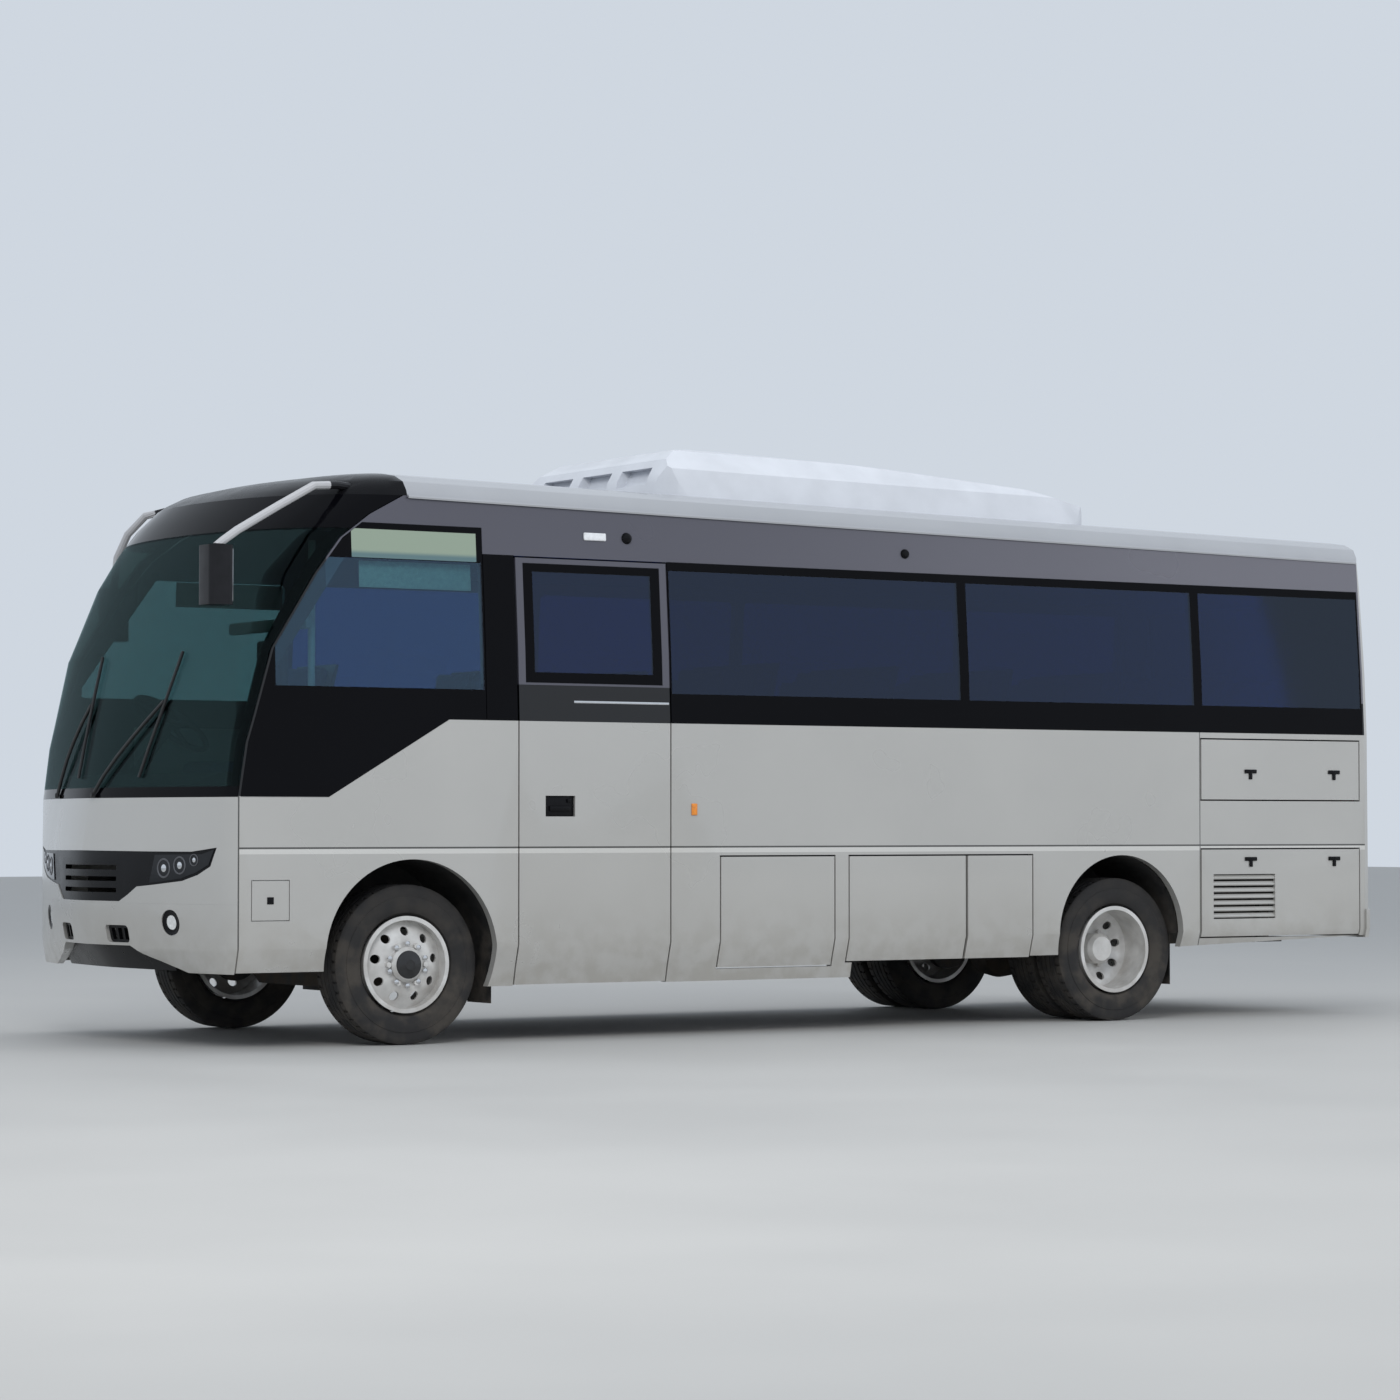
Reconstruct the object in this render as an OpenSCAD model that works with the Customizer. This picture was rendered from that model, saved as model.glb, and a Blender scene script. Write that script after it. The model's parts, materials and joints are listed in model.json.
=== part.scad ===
/* [Body shell] */
// Length over the bumpers
body_length = 7550; // [7300:10:8000]
// Width over the side panels
body_width = 2260; // [2200:10:2340]
// Height of the roof crown at the front
roof_height = 2817; // [2750:5:2880]
// Height of the drip rail at the front
gutter_height = 2667; // [2630:5:2690]
// Downward slope of the roof towards the rear in degrees
roof_slope = 0.9; // [0:0.1:1.2]
// Thickness of the side walls and doors
wall = 45; // [35:1:55]
// Thickness of the bonded panes
glass = 8; // [6:1:10]
// Height of the cabin floor
floor_height = 962; // [930:5:990]
// Thickness of the cabin floor
floor_thickness = 40; // [30:1:50]
// Height of the waist crease
crease_height = 962; // [942:5:982]
// Gap round doors and flaps
panel_gap = 8; // [6:1:10]

/* [Windows] */
// Lower edge of the black window band
band_bottom = 1582; // [1552:5:1612]
// Lower edge of the clear side glass
side_glass_bottom = 1732; // [1702:5:1762]
// Upper edge of the side glass
side_glass_top = 2357; // [2322:5:2382]
// Lower edge of the windscreen
windscreen_bottom = 1201; // [1182:1:1232]
// Upper edge of the windscreen
windscreen_top = 2672; // [2652:5:2692]
// Width of the pillars behind the side glass
pillar_width = 60; // [50:1:80]

/* [Running gear] */
// Distance between the axles
wheelbase = 4400; // [4350:10:4450]
// Distance from the front bumper to the front axle
front_overhang = 1250; // [1220:10:1280]
// Outer radius of the tyres
tyre_radius = 391; // [380:1:398]
// Width of a tyre
tyre_width = 226; // [205:1:235]
// Radius of the rim flange
rim_radius = 236; // [230:1:240]
// Distance of the front tyre's middle from the centre line
front_tyre_y = 925; // [915:1:935]
// Distance of the outer rear tyre's middle from the centre line
rear_tyre_y = 935; // [925:1:945]
// Distance between the twin rear tyres
twin_spacing = 254; // [245:1:265]
// Distance of the kingpins from the centre line
kingpin_y = 770; // [760:1:780]
// Radius of the kingpins
kingpin_r = 18; // [15:1:22]
// Radius of the wheel spindles
spindle_r = 32; // [28:1:36]
// Running clearance of pins and spindles
run_gap = 0.1; // [0.05:0.01:0.2]
// Radius of the front wheel arches
front_arch_r = 472; // [465:1:480]
// Radius of the rear wheel arches
rear_arch_r = 432; // [425:1:440]
// Radius of the bore in each towing eye
tow_bore_r = 20; // [16:1:24]

/* [Passenger door] */
// Distance from the body's station line back to the door's front edge
door_start = 616; // [610:1:640]
// Width of the door leaf
door_width = 880; // [860:5:900]
// Lower edge of the door leaf
door_bottom = 282; // [272:5:302]
// Upper edge of the door leaf
door_top = 2392; // [2377:5:2407]
// Radius of the two door arms
door_arm_r = 420; // [400:5:430]

/* [Flaps] */
// Upper edge of the luggage flaps
flap_top = 907; // [892:5:917]
// Lower edge of the luggage flaps
flap_bottom = 362; // [352:5:377]
// Depth of the luggage bays inwards from the wall
bay_depth = 560; // [500:10:600]

/* [Roof unit] */
// Length of the roof air conditioner
ac_length = 2840; // [2700:10:3000]
// Width of the roof air conditioner
ac_width = 1500; // [1400:10:1600]
// Height of the roof air conditioner over the roof
ac_height = 272; // [250:2:290]

/* [Seats] */
// Distance between the seat rows
seat_pitch = 760; // [740:5:780]
// Width of a seat cushion
seat_width = 420; // [400:5:440]
// Height of the cushion over the floor
seat_height = 440; // [420:5:460]

/* [Hidden] */
$fn = 48;
half = body_width / 2;
nose_x = body_length / 2;
tail_x = -body_length / 2;
front_x = nose_x - front_overhang;
station_x = front_x + 40;
rear_x = front_x - wheelbase;
seam_x = station_x + 920;
corner_x = tail_x + 145;
roof_x = station_x - 20;
axle_z = tyre_radius;
arch_shift = 20;
front_arch_lift = 40;
rear_arch_lift = 83;
skirt_low = 277;
skirt_mid = 369;
skirt_rear = 432;
fold_z = 482;
door_x1 = station_x - door_start;
door_x0 = door_x1 - door_width;
flat_top_y = 500;
fit = 0.3;

// Half widths of the body section: height, half width
section = [
  [232, half - 62], [skirt_mid, half - 32], [fold_z, half], [band_bottom, half],
  [1932, half - 15], [side_glass_top, half - 45], [gutter_height, half - 68]];
function half_at(z) = lookup(z, section);

// Front outline: height, setback of the nose, setback of the edge where the side walls end
front_rows = [
  [272, 160, 0], [362, 110, 0], [462, 40, 0], [632, 0, 0], [932, 0, 0], [windscreen_bottom, 35, 0],
  [1459, 90, 40], [1909, 185, 180], [2272, 330, 420], [2452, 425, 565], [2572, 495, 730],
  [windscreen_top, 580, 920]];
// Roundness of the front in plan: height, pull of the corner, pull of the nose
plan_rows = [[windscreen_bottom, 0.15, 0.25], [2272, 0.55, 0.65]];
function nose_at(z) = nose_x - lookup(z, [for (r = front_rows) [r[0], r[1]]]);
function turn_at(z) = seam_x - lookup(z, [for (r = front_rows) [r[0], r[2]]]);

// Rear outline: height, setback from the tail
bumper_proud = 12;
rear_bumper_top = 591;
rear_rows = [[272, bumper_proud], [rear_bumper_top, bumper_proud], [1232, 22], [2032, 35], [2432, 62], [2562, 84]];
function tail_at(z) = tail_x + lookup(z, [for (r = rear_rows) [r[0], r[1]]]);

// Heights in rising order, each once
function rising(v) = len(v) < 2 ? v :
  concat(rising([for (x = v) if (x < v[0] - 1) x]), [v[0]], rising([for (x = v) if (x > v[0] + 1) x]));
function between(rows, z0, z1) =
  rising(concat([z0, z1], [for (r = rows) if (r[0] > z0 + 1 && r[0] < z1 - 1) r[0]]));

// Vertical strip of the wall from inset a to inset b
function strip(z0, z1, a, b) =
  let (zs = between(section, z0, z1), n = len(zs))
  concat([for (z = zs) [half_at(z) - a, z]],
         [for (i = [n - 1:-1:0]) [half_at(zs[i]) - b, zs[i]]]);

module along_x(x0, x1) {
  translate([x0, 0, 0]) rotate([90, 0, 90]) linear_extrude(x1 - x0) children();
}

module along_y(y0, y1) {
  translate([0, y1, 0]) rotate([90, 0, 0]) linear_extrude(y1 - y0) children();
}

// One panel of the left wall between two stations, two heights and two insets
module skin(x0, x1, z0, z1, a = 0, b = wall) {
  along_x(x0, x1) polygon(strip(z0, z1, a, b));
}

module sides(side) {
  if (side > 0) children();
  else mirror([0, 1, 0]) children();
}

// Point on the rounded end in plan, u from -1 right to 1 left
function bend(u, w, xs, xf, pull = 0.74, flat = 0.78) =
  let (s = 1 - abs(u), q = 1 - s)
  [q * q * q * xs + 3 * q * q * s * (xs + pull * (xf - xs)) + 3 * q * s * s * xf + s * s * s * xf,
   sign(u) * (q * q * q * w + 3 * q * q * s * w + 3 * q * s * s * flat * w)];
function front_row(u, z, a) = bend(u, half_at(z) - a, turn_at(z), nose_at(z) - a,
  lookup(z, [for (r = plan_rows) [r[0], r[1]]]), lookup(z, [for (r = plan_rows) [r[0], r[2]]]));
function rear_row(u, z, a) = bend(u, half_at(z) - a, corner_x, tail_at(z) + a);

// Levels and steps that all pieces of one end share
front_levels = rising([for (r = concat(front_rows, section)) r[0]]);
rear_levels = rising([for (r = concat(rear_rows, section)) r[0]]);
front_steps = 10;
rear_steps = 8;
function mix(p, q, t) = p + (q - p) * t;
function end_point(front, u, z, a) =
  let (rows = front ? front_levels : rear_levels, n = front ? front_steps : rear_steps,
    k = min(floor((u + 1) * n + 0.001), 2 * n - 1), t = (u + 1) * n - k, u0 = k / n - 1, u1 = (k + 1) / n - 1,
    below = [for (i = [0:len(rows) - 2]) if (rows[i] <= z) i], j = len(below) > 0 ? below[len(below) - 1] : 0,
    z0 = rows[j], z1 = rows[j + 1])
  front ? mix(mix(front_row(u0, z0, a), front_row(u1, z0, a), t), mix(front_row(u0, z1, a), front_row(u1, z1, a), t),
      (z - z0) / (z1 - z0))
    : mix(mix(rear_row(u0, z0, a), rear_row(u1, z0, a), t), mix(rear_row(u0, z1, a), rear_row(u1, z1, a), t),
      (z - z0) / (z1 - z0));
function front_point(u, z, a) = end_point(true, u, z, a);
function spread(u0, u1, n) =
  concat([u0], [for (i = [0:2 * n]) let (u = i / n - 1) if (u > u0 + 0.01 && u < u1 - 0.01) u], [u1]);

// Curved band of the front or rear end between insets a and b
module end_band(front, z0, z1, u0, u1, a, b) {
  rows = front ? front_levels : rear_levels;
  levels = concat([z0], [for (z = rows) if (z > z0 + 1 && z < z1 - 1) z], [z1]);
  us = spread(u0, u1, front ? front_steps : rear_steps);
  steps = len(us) - 1;
  ring = 2 * (steps + 1);
  points = [for (z = levels) each concat(
    [for (i = [0:steps]) let (p = end_point(front, us[i], z, a)) [p[0], p[1], z]],
    [for (i = [steps:-1:0]) let (p = end_point(front, us[i], z, b)) [p[0], p[1], z]])];
  m = len(levels);
  walls = [for (j = [0:m - 2], i = [0:ring - 1])
    let (p = j * ring + i, q = j * ring + (i + 1) % ring)
    each i <= steps ? [[p, q, q + ring], [p, q + ring, p + ring]] : [[p, q, p + ring], [q, q + ring, p + ring]]];
  ends = [for (i = [0:steps - 1]) each [
    [i + 1, i, ring - 1 - i], [i + 1, ring - 1 - i, ring - 2 - i]]];
  tops = [for (f = ends) [for (v = [2, 1, 0]) f[v] + (m - 1) * ring]];
  faces = [for (f = concat(walls, ends, tops)) front ? [f[2], f[1], f[0]] : f];
  polyhedron(points, faces);
}

// Everything under the drip rails, which fall towards the rear
module under_gutter() {
  along_y(-half - 50, half + 50) polygon([
    [tail_x - 50, 0], [nose_x, 0], [nose_x, windscreen_top], [roof_x, windscreen_top],
    [roof_x, gutter_height], [tail_x - 50, gutter_height - (roof_x - tail_x + 50) * tan(roof_slope)]]);
}

// Leans a piece drawn level at the front down to the roof's slope
module roof_tilt() {
  translate([roof_x, 0, gutter_height]) rotate([0, -roof_slope, 0])
    translate([-roof_x, 0, -gutter_height]) children();
}

module wheel_opening(x, r, z) {
  translate([x, 0, z]) rotate([-90, 0, 0]) cylinder(r = r, h = half + 20, $fn = 96);
}

module bar(p, q, r) {
  d = q - p;
  len_d = norm(d);
  translate(p) rotate([0, acos(d[2] / len_d), atan2(d[1], d[0])]) cylinder(r = r, h = len_d, $fn = 24);
}

// Flap places: start and end behind the front axle, height of the lower edge
luggage_flaps = [[1800, 2510, 345], [2600, 3360, flap_bottom], [3368, 3805, flap_bottom]];
bay_ends = [1790, 3815];
service_start = 4985;
service_end = 6150;
service_low = 452;
service_mid = 1212;
fuel_flap_ends = [650, 845];
fuel_flap_z = [617, 804];
pillar_places = [3360, 4970];
window_gap = pillar_width / 2;
windows_rear = [[pillar_places[0] + window_gap, pillar_places[1] - window_gap],
  [pillar_places[1] + window_gap, 6170]];
windows_left = concat([[-745, 425], [1512, pillar_places[0] - window_gap]], windows_rear);
windows_right = concat([[-745, 425], [425 + pillar_width, 1990 - window_gap],
  [1990 + window_gap, pillar_places[0] - window_gap]], windows_rear);
band_start = 430;
// Place behind the station line: the front stays, the middle follows the wheelbase, the rear end the tail
function back(t) = t <= 1600 ? station_x - t
  : t <= 4440 ? station_x - 1600 - (t - 1600) * (station_x - rear_x - 1600) / 2840
  : t <= 4985 ? rear_x - (t - 4440) : tail_place(6340 - t);
function tail_place(d) = tail_x + d * (rear_x - 545 - tail_x) / 1355;

module window_holes(windows) {
  for (w = windows)
    along_y(half - 2 * wall, half + 20) hull() {
      slant = w[0] < 0 ? 400 : 0;
      for (x = [back(w[1]) - 30, back(w[0]) + 30], z = [side_glass_bottom + 30, side_glass_top - 30]) {
        lean = (x > back(w[0]) && z > side_glass_bottom + 100) ? slant : 0;
        translate([x - lean - (x > back(w[0]) ? 60 : -60), z]) circle(r = 30);
      }
    }
}

// Recess for the bonded panes, flush with the outside
module pane_recess(side) {
  b = glass + 1;
  skin(corner_x + 12, side > 0 ? door_x0 - panel_gap : back(band_start), band_bottom,
    side_glass_top + 45, -5, b);
  if (side > 0) skin(door_x1 + panel_gap, back(band_start), band_bottom, side_glass_top + 45, -5, b);
  front_pane(0, -5, b);
}

// Pane beside the driver with its low black panel and slanted edges
pane_top = 2532;
module front_pane(gap, a, b) {
  intersection() {
    skin(back(band_start) + gap, seam_x, windscreen_bottom + gap, pane_top - gap, a, b);
    along_y(0, half + 20) polygon(concat(
      [[back(band_start), band_bottom + gap], [back(220), band_bottom + gap],
        [back(-440), windscreen_bottom]],
      [for (z = between(front_rows, windscreen_bottom, pane_top)) [turn_at(z) - 12 - gap, z]],
      [[back(band_start), pane_top]]));
  }
}

module side_wall(side) {
  difference() {
    intersection() {
      skin(corner_x, seam_x, skirt_low, windscreen_top);
      under_gutter();
      along_y(0, half + 1) polygon(concat(
        [[corner_x, skirt_rear + 13], [rear_x - rear_arch_r, skirt_rear - 30], [rear_x, skirt_mid],
          [back(2640), skirt_mid], [back(2640), skirt_low], [front_x, skirt_low], [front_x, skirt_mid],
          [seam_x, skirt_mid]],
        [for (z = between(front_rows, windscreen_bottom, windscreen_top)) [turn_at(z), z]],
        [[corner_x, windscreen_top]]));
    }
    wheel_opening(front_x + arch_shift, front_arch_r, axle_z + front_arch_lift);
    wheel_opening(rear_x + arch_shift, rear_arch_r, axle_z + rear_arch_lift);
    window_holes(side > 0 ? windows_left : windows_right);
    pane_recess(side);
    if (side > 0)
      skin(door_x0 - panel_gap, door_x1 + panel_gap, 0, door_top + panel_gap, -20, wall + 20);
    for (f = luggage_flaps)
      skin(back(f[1]) - panel_gap / 2, back(f[0]) + panel_gap / 2, f[2] - panel_gap, flap_top + panel_gap,
        -20, wall + 20);
    skin(back(service_end) - panel_gap, back(service_start) + panel_gap, service_low - panel_gap,
      crease_height - 20, -20, wall + 20);
    if (side > 0) {
      skin(back(service_end) - panel_gap, back(service_start) + panel_gap, service_mid - panel_gap,
        band_bottom - 30, -20, wall + 20);
      skin(station_x + fuel_flap_ends[0] - 4, station_x + fuel_flap_ends[1] + 4, fuel_flap_z[0] - 4,
        fuel_flap_z[1] + 4, -20, 24);
    }
  }
}

module side_wall_left() {
  color([0.72, 0.71, 0.69]) {
    side_wall(1);
    door_brackets();
  }
}

module side_wall_right() {
  color([0.72, 0.71, 0.69]) sides(-1) side_wall(-1);
}

// Door post and arms: post place, open angle and hook of the arms
post_x = door_x1 - 40;
post_y = half - wall - 58;
post_r = 18;
arm_heights = [1052, 1652];
arm_r = 14;
door_swing = 158;
hook_out = door_arm_r * sin(door_swing);
pin_r = 9;

// Bearings of the door post on the front jamb
module door_brackets() {
  for (z = [arm_heights[0] - 90, arm_heights[1] + 60])
    difference() {
      union() {
        translate([post_x, post_y, z]) cylinder(r = post_r + 10, h = 30);
        translate([post_x, post_y - 15, z]) cube([door_x1 + 60 - post_x, 30, 30]);
        translate([door_x1 + 20, post_y - 15, z]) cube([40, half_at(z) - wall - post_y + 16, 30]);
      }
      translate([post_x, post_y, z - 1]) cylinder(r = post_r + run_gap, h = 32);
    }
}

// Arms in the closed place: a hook inwards from the post, then back to the leaf
module door_arms() {
  hook = [-hook_out * sin(door_swing), hook_out * cos(door_swing)];
  color("dimgray") {
    translate([post_x, post_y, arm_heights[0] - 100])
      cylinder(r = post_r, h = arm_heights[1] - arm_heights[0] + 200);
    for (z = arm_heights) {
      p1 = [post_x + hook[0], post_y + hook[1], z];
      p2 = [post_x - door_arm_r, post_y, z];
      tube([for (i = [0:8]) curve([[post_x, post_y, z], p1, p1 + (p2 - p1) * 0.12, p2], i / 8)], arm_r, 12);
      translate(p2 - [0, 0, 38]) cylinder(r = pin_r, h = 76);
      translate(p2 - [0, 0, arm_r + 4]) cylinder(r = 20, h = 2 * arm_r + 8);
    }
  }
}

module door_leaf() {
  lug_x = post_x - door_arm_r;
  color([0.72, 0.71, 0.69]) {
    difference() {
      skin(door_x0, door_x1, door_bottom, door_top);
      along_y(half - 2 * wall, half + 20)
        offset(r = 30) translate([door_x0 + 90, side_glass_bottom + 90])
          square([door_width - 180, side_glass_top - side_glass_bottom - 120]);
      skin(door_x0 + 40, door_x1 - 40, side_glass_bottom + 40, side_glass_top + 10, -5, glass + 1);
      skin(back(936), back(765), 1111, 1214, -5, 22);
      skin(door_x0 + 70, door_x1 - 70, door_bottom + 80, side_glass_bottom, 16, wall + 20);
    }
    for (z = arm_heights, s = [-1, 1])
      difference() {
        translate([lug_x - 22, post_y - 22, z + s * 32 - 8])
          cube([44, half_at(z) - 12 - post_y + 22, 16]);
        translate([lug_x, post_y, z + s * 32 - 9]) cylinder(r = pin_r + run_gap, h = 18);
      }
  }
}

module door_glass() {
  color([0.1, 0.13, 0.22, 0.6])
    skin(door_x0 + 42, door_x1 - 42, side_glass_bottom + 42, side_glass_top + 8, 1, glass + 0.7);
}

// A flap hung at its upper outer edge
module wall_flap(x0, x1, z0, z1, latch_z = 0) {
  difference() {
    skin(x0, x1, z0, z1);
    skin(x0 + 25, x1 - 25, z0 + 25, z1 - 25, 18, wall + 20);
  }
  if (latch_z > 0)
    for (x = [x0 + (x1 - x0) * 0.17, x0 + (x1 - x0) * 0.7])
      skin(x - 30, x + 30, latch_z - 9, latch_z + 9, 2, 20);
}

module luggage_flap(side, i) {
  f = luggage_flaps[i];
  color([0.72, 0.71, 0.69]) sides(side)
    wall_flap(back(f[1]) + panel_gap / 2, back(f[0]) - panel_gap / 2, f[2], flap_top);
}

module luggage_flap_left_front() { luggage_flap(1, 0); }
module luggage_flap_left_middle() { luggage_flap(1, 1); }
module luggage_flap_left_rear() { luggage_flap(1, 2); }
module luggage_flap_right_front() { luggage_flap(-1, 0); }
module luggage_flap_right_middle() { luggage_flap(-1, 1); }
module luggage_flap_right_rear() { luggage_flap(-1, 2); }

grille_ends = [5070, 5520];
grille_z = [549, 797];
slat_count = 7;

// Lower service door with its louvres
module service_flap_low() {
  pitch = (grille_z[1] - grille_z[0]) / slat_count;
  difference() {
    wall_flap(back(service_end), back(service_start), service_low, crease_height - 28);
    skin(back(grille_ends[1]), back(grille_ends[0]), grille_z[0], grille_z[1], -5, wall + 5);
  }
  for (i = [0:slat_count - 1])
    translate([0, 0, grille_z[0] + (i + 0.2) * pitch]) along_x(back(grille_ends[1]), back(grille_ends[0]))
      polygon([[half - 6, 0], [half - 2, 6], [half - 16, 24], [half - 20, 18]]);
}

module service_flap_left_low() { color([0.72, 0.71, 0.69]) service_flap_low(); }
module service_flap_right_low() { color([0.72, 0.71, 0.69]) sides(-1) service_flap_low(); }
module service_flap_left_high() {
  color([0.72, 0.71, 0.69]) wall_flap(back(service_end), back(service_start), service_mid, band_bottom - 38);
}
module fuel_flap() {
  color([0.72, 0.71, 0.69]) skin(station_x + fuel_flap_ends[0], station_x + fuel_flap_ends[1], fuel_flap_z[0],
    fuel_flap_z[1], 0, 12);
}

module side_glass() {
  color([0.1, 0.13, 0.22, 0.6]) for (side = [1, -1]) sides(side) {
    skin(corner_x + 14, side > 0 ? door_x0 - panel_gap - 2 : back(band_start) - 2, band_bottom + 2,
      side_glass_top + 43, 1, glass + 0.7);
    if (side > 0)
      skin(door_x1 + panel_gap + 2, back(band_start) - 2, band_bottom + 2, side_glass_top + 43, 1, glass + 0.7);
    front_pane(2, 1, glass + 0.7);
  }
}

// Roof section from the drip rail to the crown: half width, height under the crown
roof_rise = roof_height - gutter_height;
roof_rows = [[half - 68, roof_rise], [half - 78, roof_rise * 118 / 150], [half - 115, roof_rise * 72 / 150],
  [half - 200, roof_rise * 38 / 150], [half - 330, roof_rise * 18 / 150], [flat_top_y, roof_rise * 3 / 150], [0, 0]];
roof_skin = 38;
function roof_line(d) = concat([for (r = roof_rows) [r[0] - (r[0] > 0 ? d : 0), roof_height - r[1] - d]],
  [for (i = [len(roof_rows) - 2:-1:0]) [-roof_rows[i][0] + d, roof_height - roof_rows[i][1] - d]]);

function rear_outline(z, a) = [for (u = spread(-1, 1, rear_steps)) end_point(false, u, z, a)];
module roof_shell() {
  color([0.3, 0.31, 0.34]) intersection() {
    translate([0, 0, min(gutter_height, roof_height) - 240]) linear_extrude(abs(roof_rise) + 250) polygon(concat(
      rear_outline(gutter_height - 60, 0), [[corner_x, half], [roof_x, half], [roof_x, -half], [corner_x, -half]]));
    roof_tilt() difference() {
      union() {
        along_x(tail_x, roof_x + 5) polygon(roof_line(0));
        for (side = [1, -1]) sides(side)
          translate([0, half - 74, gutter_height]) along_x(corner_x + 5, roof_x + 5)
            polygon([[0, 0], [16, 0], [16, -8], [20, -8], [22, 0], [18, 8], [0, 10]]);
      }
      along_x(tail_x - 1, roof_x + 6) polygon(roof_line(roof_skin));
    }
  }
}

// Contours of the curved cap over the windscreen: height, half width, setback of the nose
cap_setback = [580, 622, 725, 870, 1010, 1160];
cap_rows = [for (i = [0:5]) [i == 0 ? windscreen_top : roof_height - roof_rows[i][1], roof_rows[i][0], cap_setback[i]]];
module front_cap() {
  steps = 20;
  count = steps + 1;
  points = [for (r = cap_rows) for (i = [0:steps]) let (u = -1 + 2 * i / steps,
    p = bend(u, r[1], roof_x, nose_x - r[2], 0.55, 0.65)) [p[0], p[1], r[0]]];
  top = len(cap_rows) - 1;
  faces = concat(
    [for (j = [0:top - 1], i = [0:steps]) let (k = (i + 1) % count)
      each [[j * count + i, (j + 1) * count + k, j * count + k],
            [j * count + i, (j + 1) * count + i, (j + 1) * count + k]]],
    [[for (i = [0:steps]) i]], [[for (i = [steps:-1:0]) top * count + i]]);
  color([0.08, 0.08, 0.09]) difference() {
    polyhedron(points, faces);
    translate([roof_x - 1, -half + 250, windscreen_top - 1])
      cube([230, body_width - 500, roof_height - windscreen_top - 60]);
    for (side = [1, -1]) sides(side)
      bar(mirror_foot - mirror_way * 0.002, mirror_foot + mirror_way, mirror_arm_r + fit);
  }
}

module windscreen() {
  color([0.08, 0.1, 0.14, 0.6]) end_band(true, windscreen_bottom, windscreen_top - fit, -0.99, 0.99, 0, glass);
}

// Corner pillars behind the windscreen, with the header and sill frame
module front_frame() {
  gap = glass + 4;
  color([0.08, 0.08, 0.09]) {
    for (side = [1, -1]) sides(side)
      end_band(true, windscreen_bottom, windscreen_top - fit, 0.9, 0.985, gap, wall);
    end_band(true, windscreen_bottom, windscreen_bottom + 60, -0.89, 0.89, gap, wall);
    end_band(true, windscreen_top - 90, windscreen_top - fit, -0.89, 0.89, gap + 4, wall);
  }
}

panel_low = 692;
graphic_half = [[-1, 700], [-1, 945], [560, 942], [853, 942], [939, 952], [1017, 962], [978, 872], [898, 832],
  [793, 802], [588, 782], [466, 772], [398, 732], [332, 700]];
module front_graphic(grow) {
  for (side = [1, -1]) sides(side)
    along_x(station_x + 500, nose_x + 50) offset(delta = grow) polygon(graphic_half);
}

module front_panel() {
  color([0.72, 0.71, 0.69]) difference() {
    end_band(true, panel_low, windscreen_bottom - fit, -1, 1, 0, wall);
    front_graphic(0);
  }
}

module front_grille() {
  color([0.05, 0.05, 0.06]) difference() {
    intersection() {
      end_band(true, panel_low, 972, -1, 1, 6, 40);
      front_graphic(-fit);
    }
    for (z = [742, 797, 852])
      along_x(station_x + 900, nose_x + 50) translate([-300, z]) square([600, 22]);
  }
}

module headlamps() {
  color([0.9, 0.93, 0.95]) for (side = [1, -1]) sides(side) {
    intersection() {
      end_band(true, 722, 967, 0.05, 1, 0, 5.4);
      along_x(station_x + 500, nose_x + 50) polygon([
        [560, 792], [600, 926], [920, 930], [1000, 952], [966, 880], [888, 844], [786, 814], [640, 797]]);
    }
  }
}

// Lower edge of the bumper: half width and height
bumper_edge = [[0, 486], [380, 486], [463, 448], [770, 363], [half + 50, 363]];
fog_y = 708;
fog_z = 602;
fog_r = 62;
intake_y = [200, 385];
intake_z = [500, 584];
module intake_hole(grow) {
  for (s = [1, -1])
    along_x(station_x + 500, nose_x + 50) translate([s * (intake_y[0] + intake_y[1]) / 2, (intake_z[0] + intake_z[1]) / 2])
      offset(r = 22) square([intake_y[1] - intake_y[0] - 44 + 2 * grow, intake_z[1] - intake_z[0] - 44 + 2 * grow],
        center = true);
}

module front_bumper() {
  color([0.72, 0.71, 0.69]) difference() {
    end_band(true, 352, panel_low - fit, -1, 1, 0, 60);
    for (s = [1, -1])
      translate([station_x + 500, s * fog_y, fog_z]) rotate([0, 90, 0]) cylinder(r = fog_r + fit, h = 800);
    intake_hole(0);
    along_x(station_x + 500, nose_x + 50) polygon(concat([[-half - 50, 300], [half + 50, 300]],
      [for (i = [4:-1:0]) bumper_edge[i]], [for (i = [1:4]) [-bumper_edge[i][0], bumper_edge[i][1]]]));
  }
}

module fog_lamps() {
  color([0.85, 0.87, 0.9]) for (s = [1, -1])
    intersection() {
      translate([station_x + 500, s * fog_y, fog_z]) rotate([0, 90, 0]) cylinder(r = fog_r, h = 800);
      end_band(true, 472, panel_low, -1, 1, 12, 60);
    }
}

// Meshes of the two intakes and the dark shield behind the bumper's lower edge
module front_intake() {
  color([0.05, 0.05, 0.06]) {
    difference() {
      intersection() {
        end_band(true, 472, 612, -0.7, 0.7, 20, 40);
        intake_hole(-fit);
      }
      for (s = [1, -1], y = [240, 292, 344])
        along_x(station_x + 500, nose_x + 50) translate([s * y - 17, intake_z[0] + 14])
          square([34, intake_z[1] - intake_z[0] - 28]);
    }
    end_band(true, skirt_mid, fold_z, -0.5, 0.5, 60 + fit, 78);
  }
}

rear_window = [1672, 2362, 860];
engine_lid_z = [672, 1532];
engine_lid_y = 720;
module rear_cut(z0, z1, y, grow) {
  along_x(tail_x - 20, corner_x - 2) offset(r = 40) translate([-y + 40 - grow, z0 + 40 - grow])
    square([2 * y - 80 + 2 * grow, z1 - z0 - 80 + 2 * grow]);
}

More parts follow.
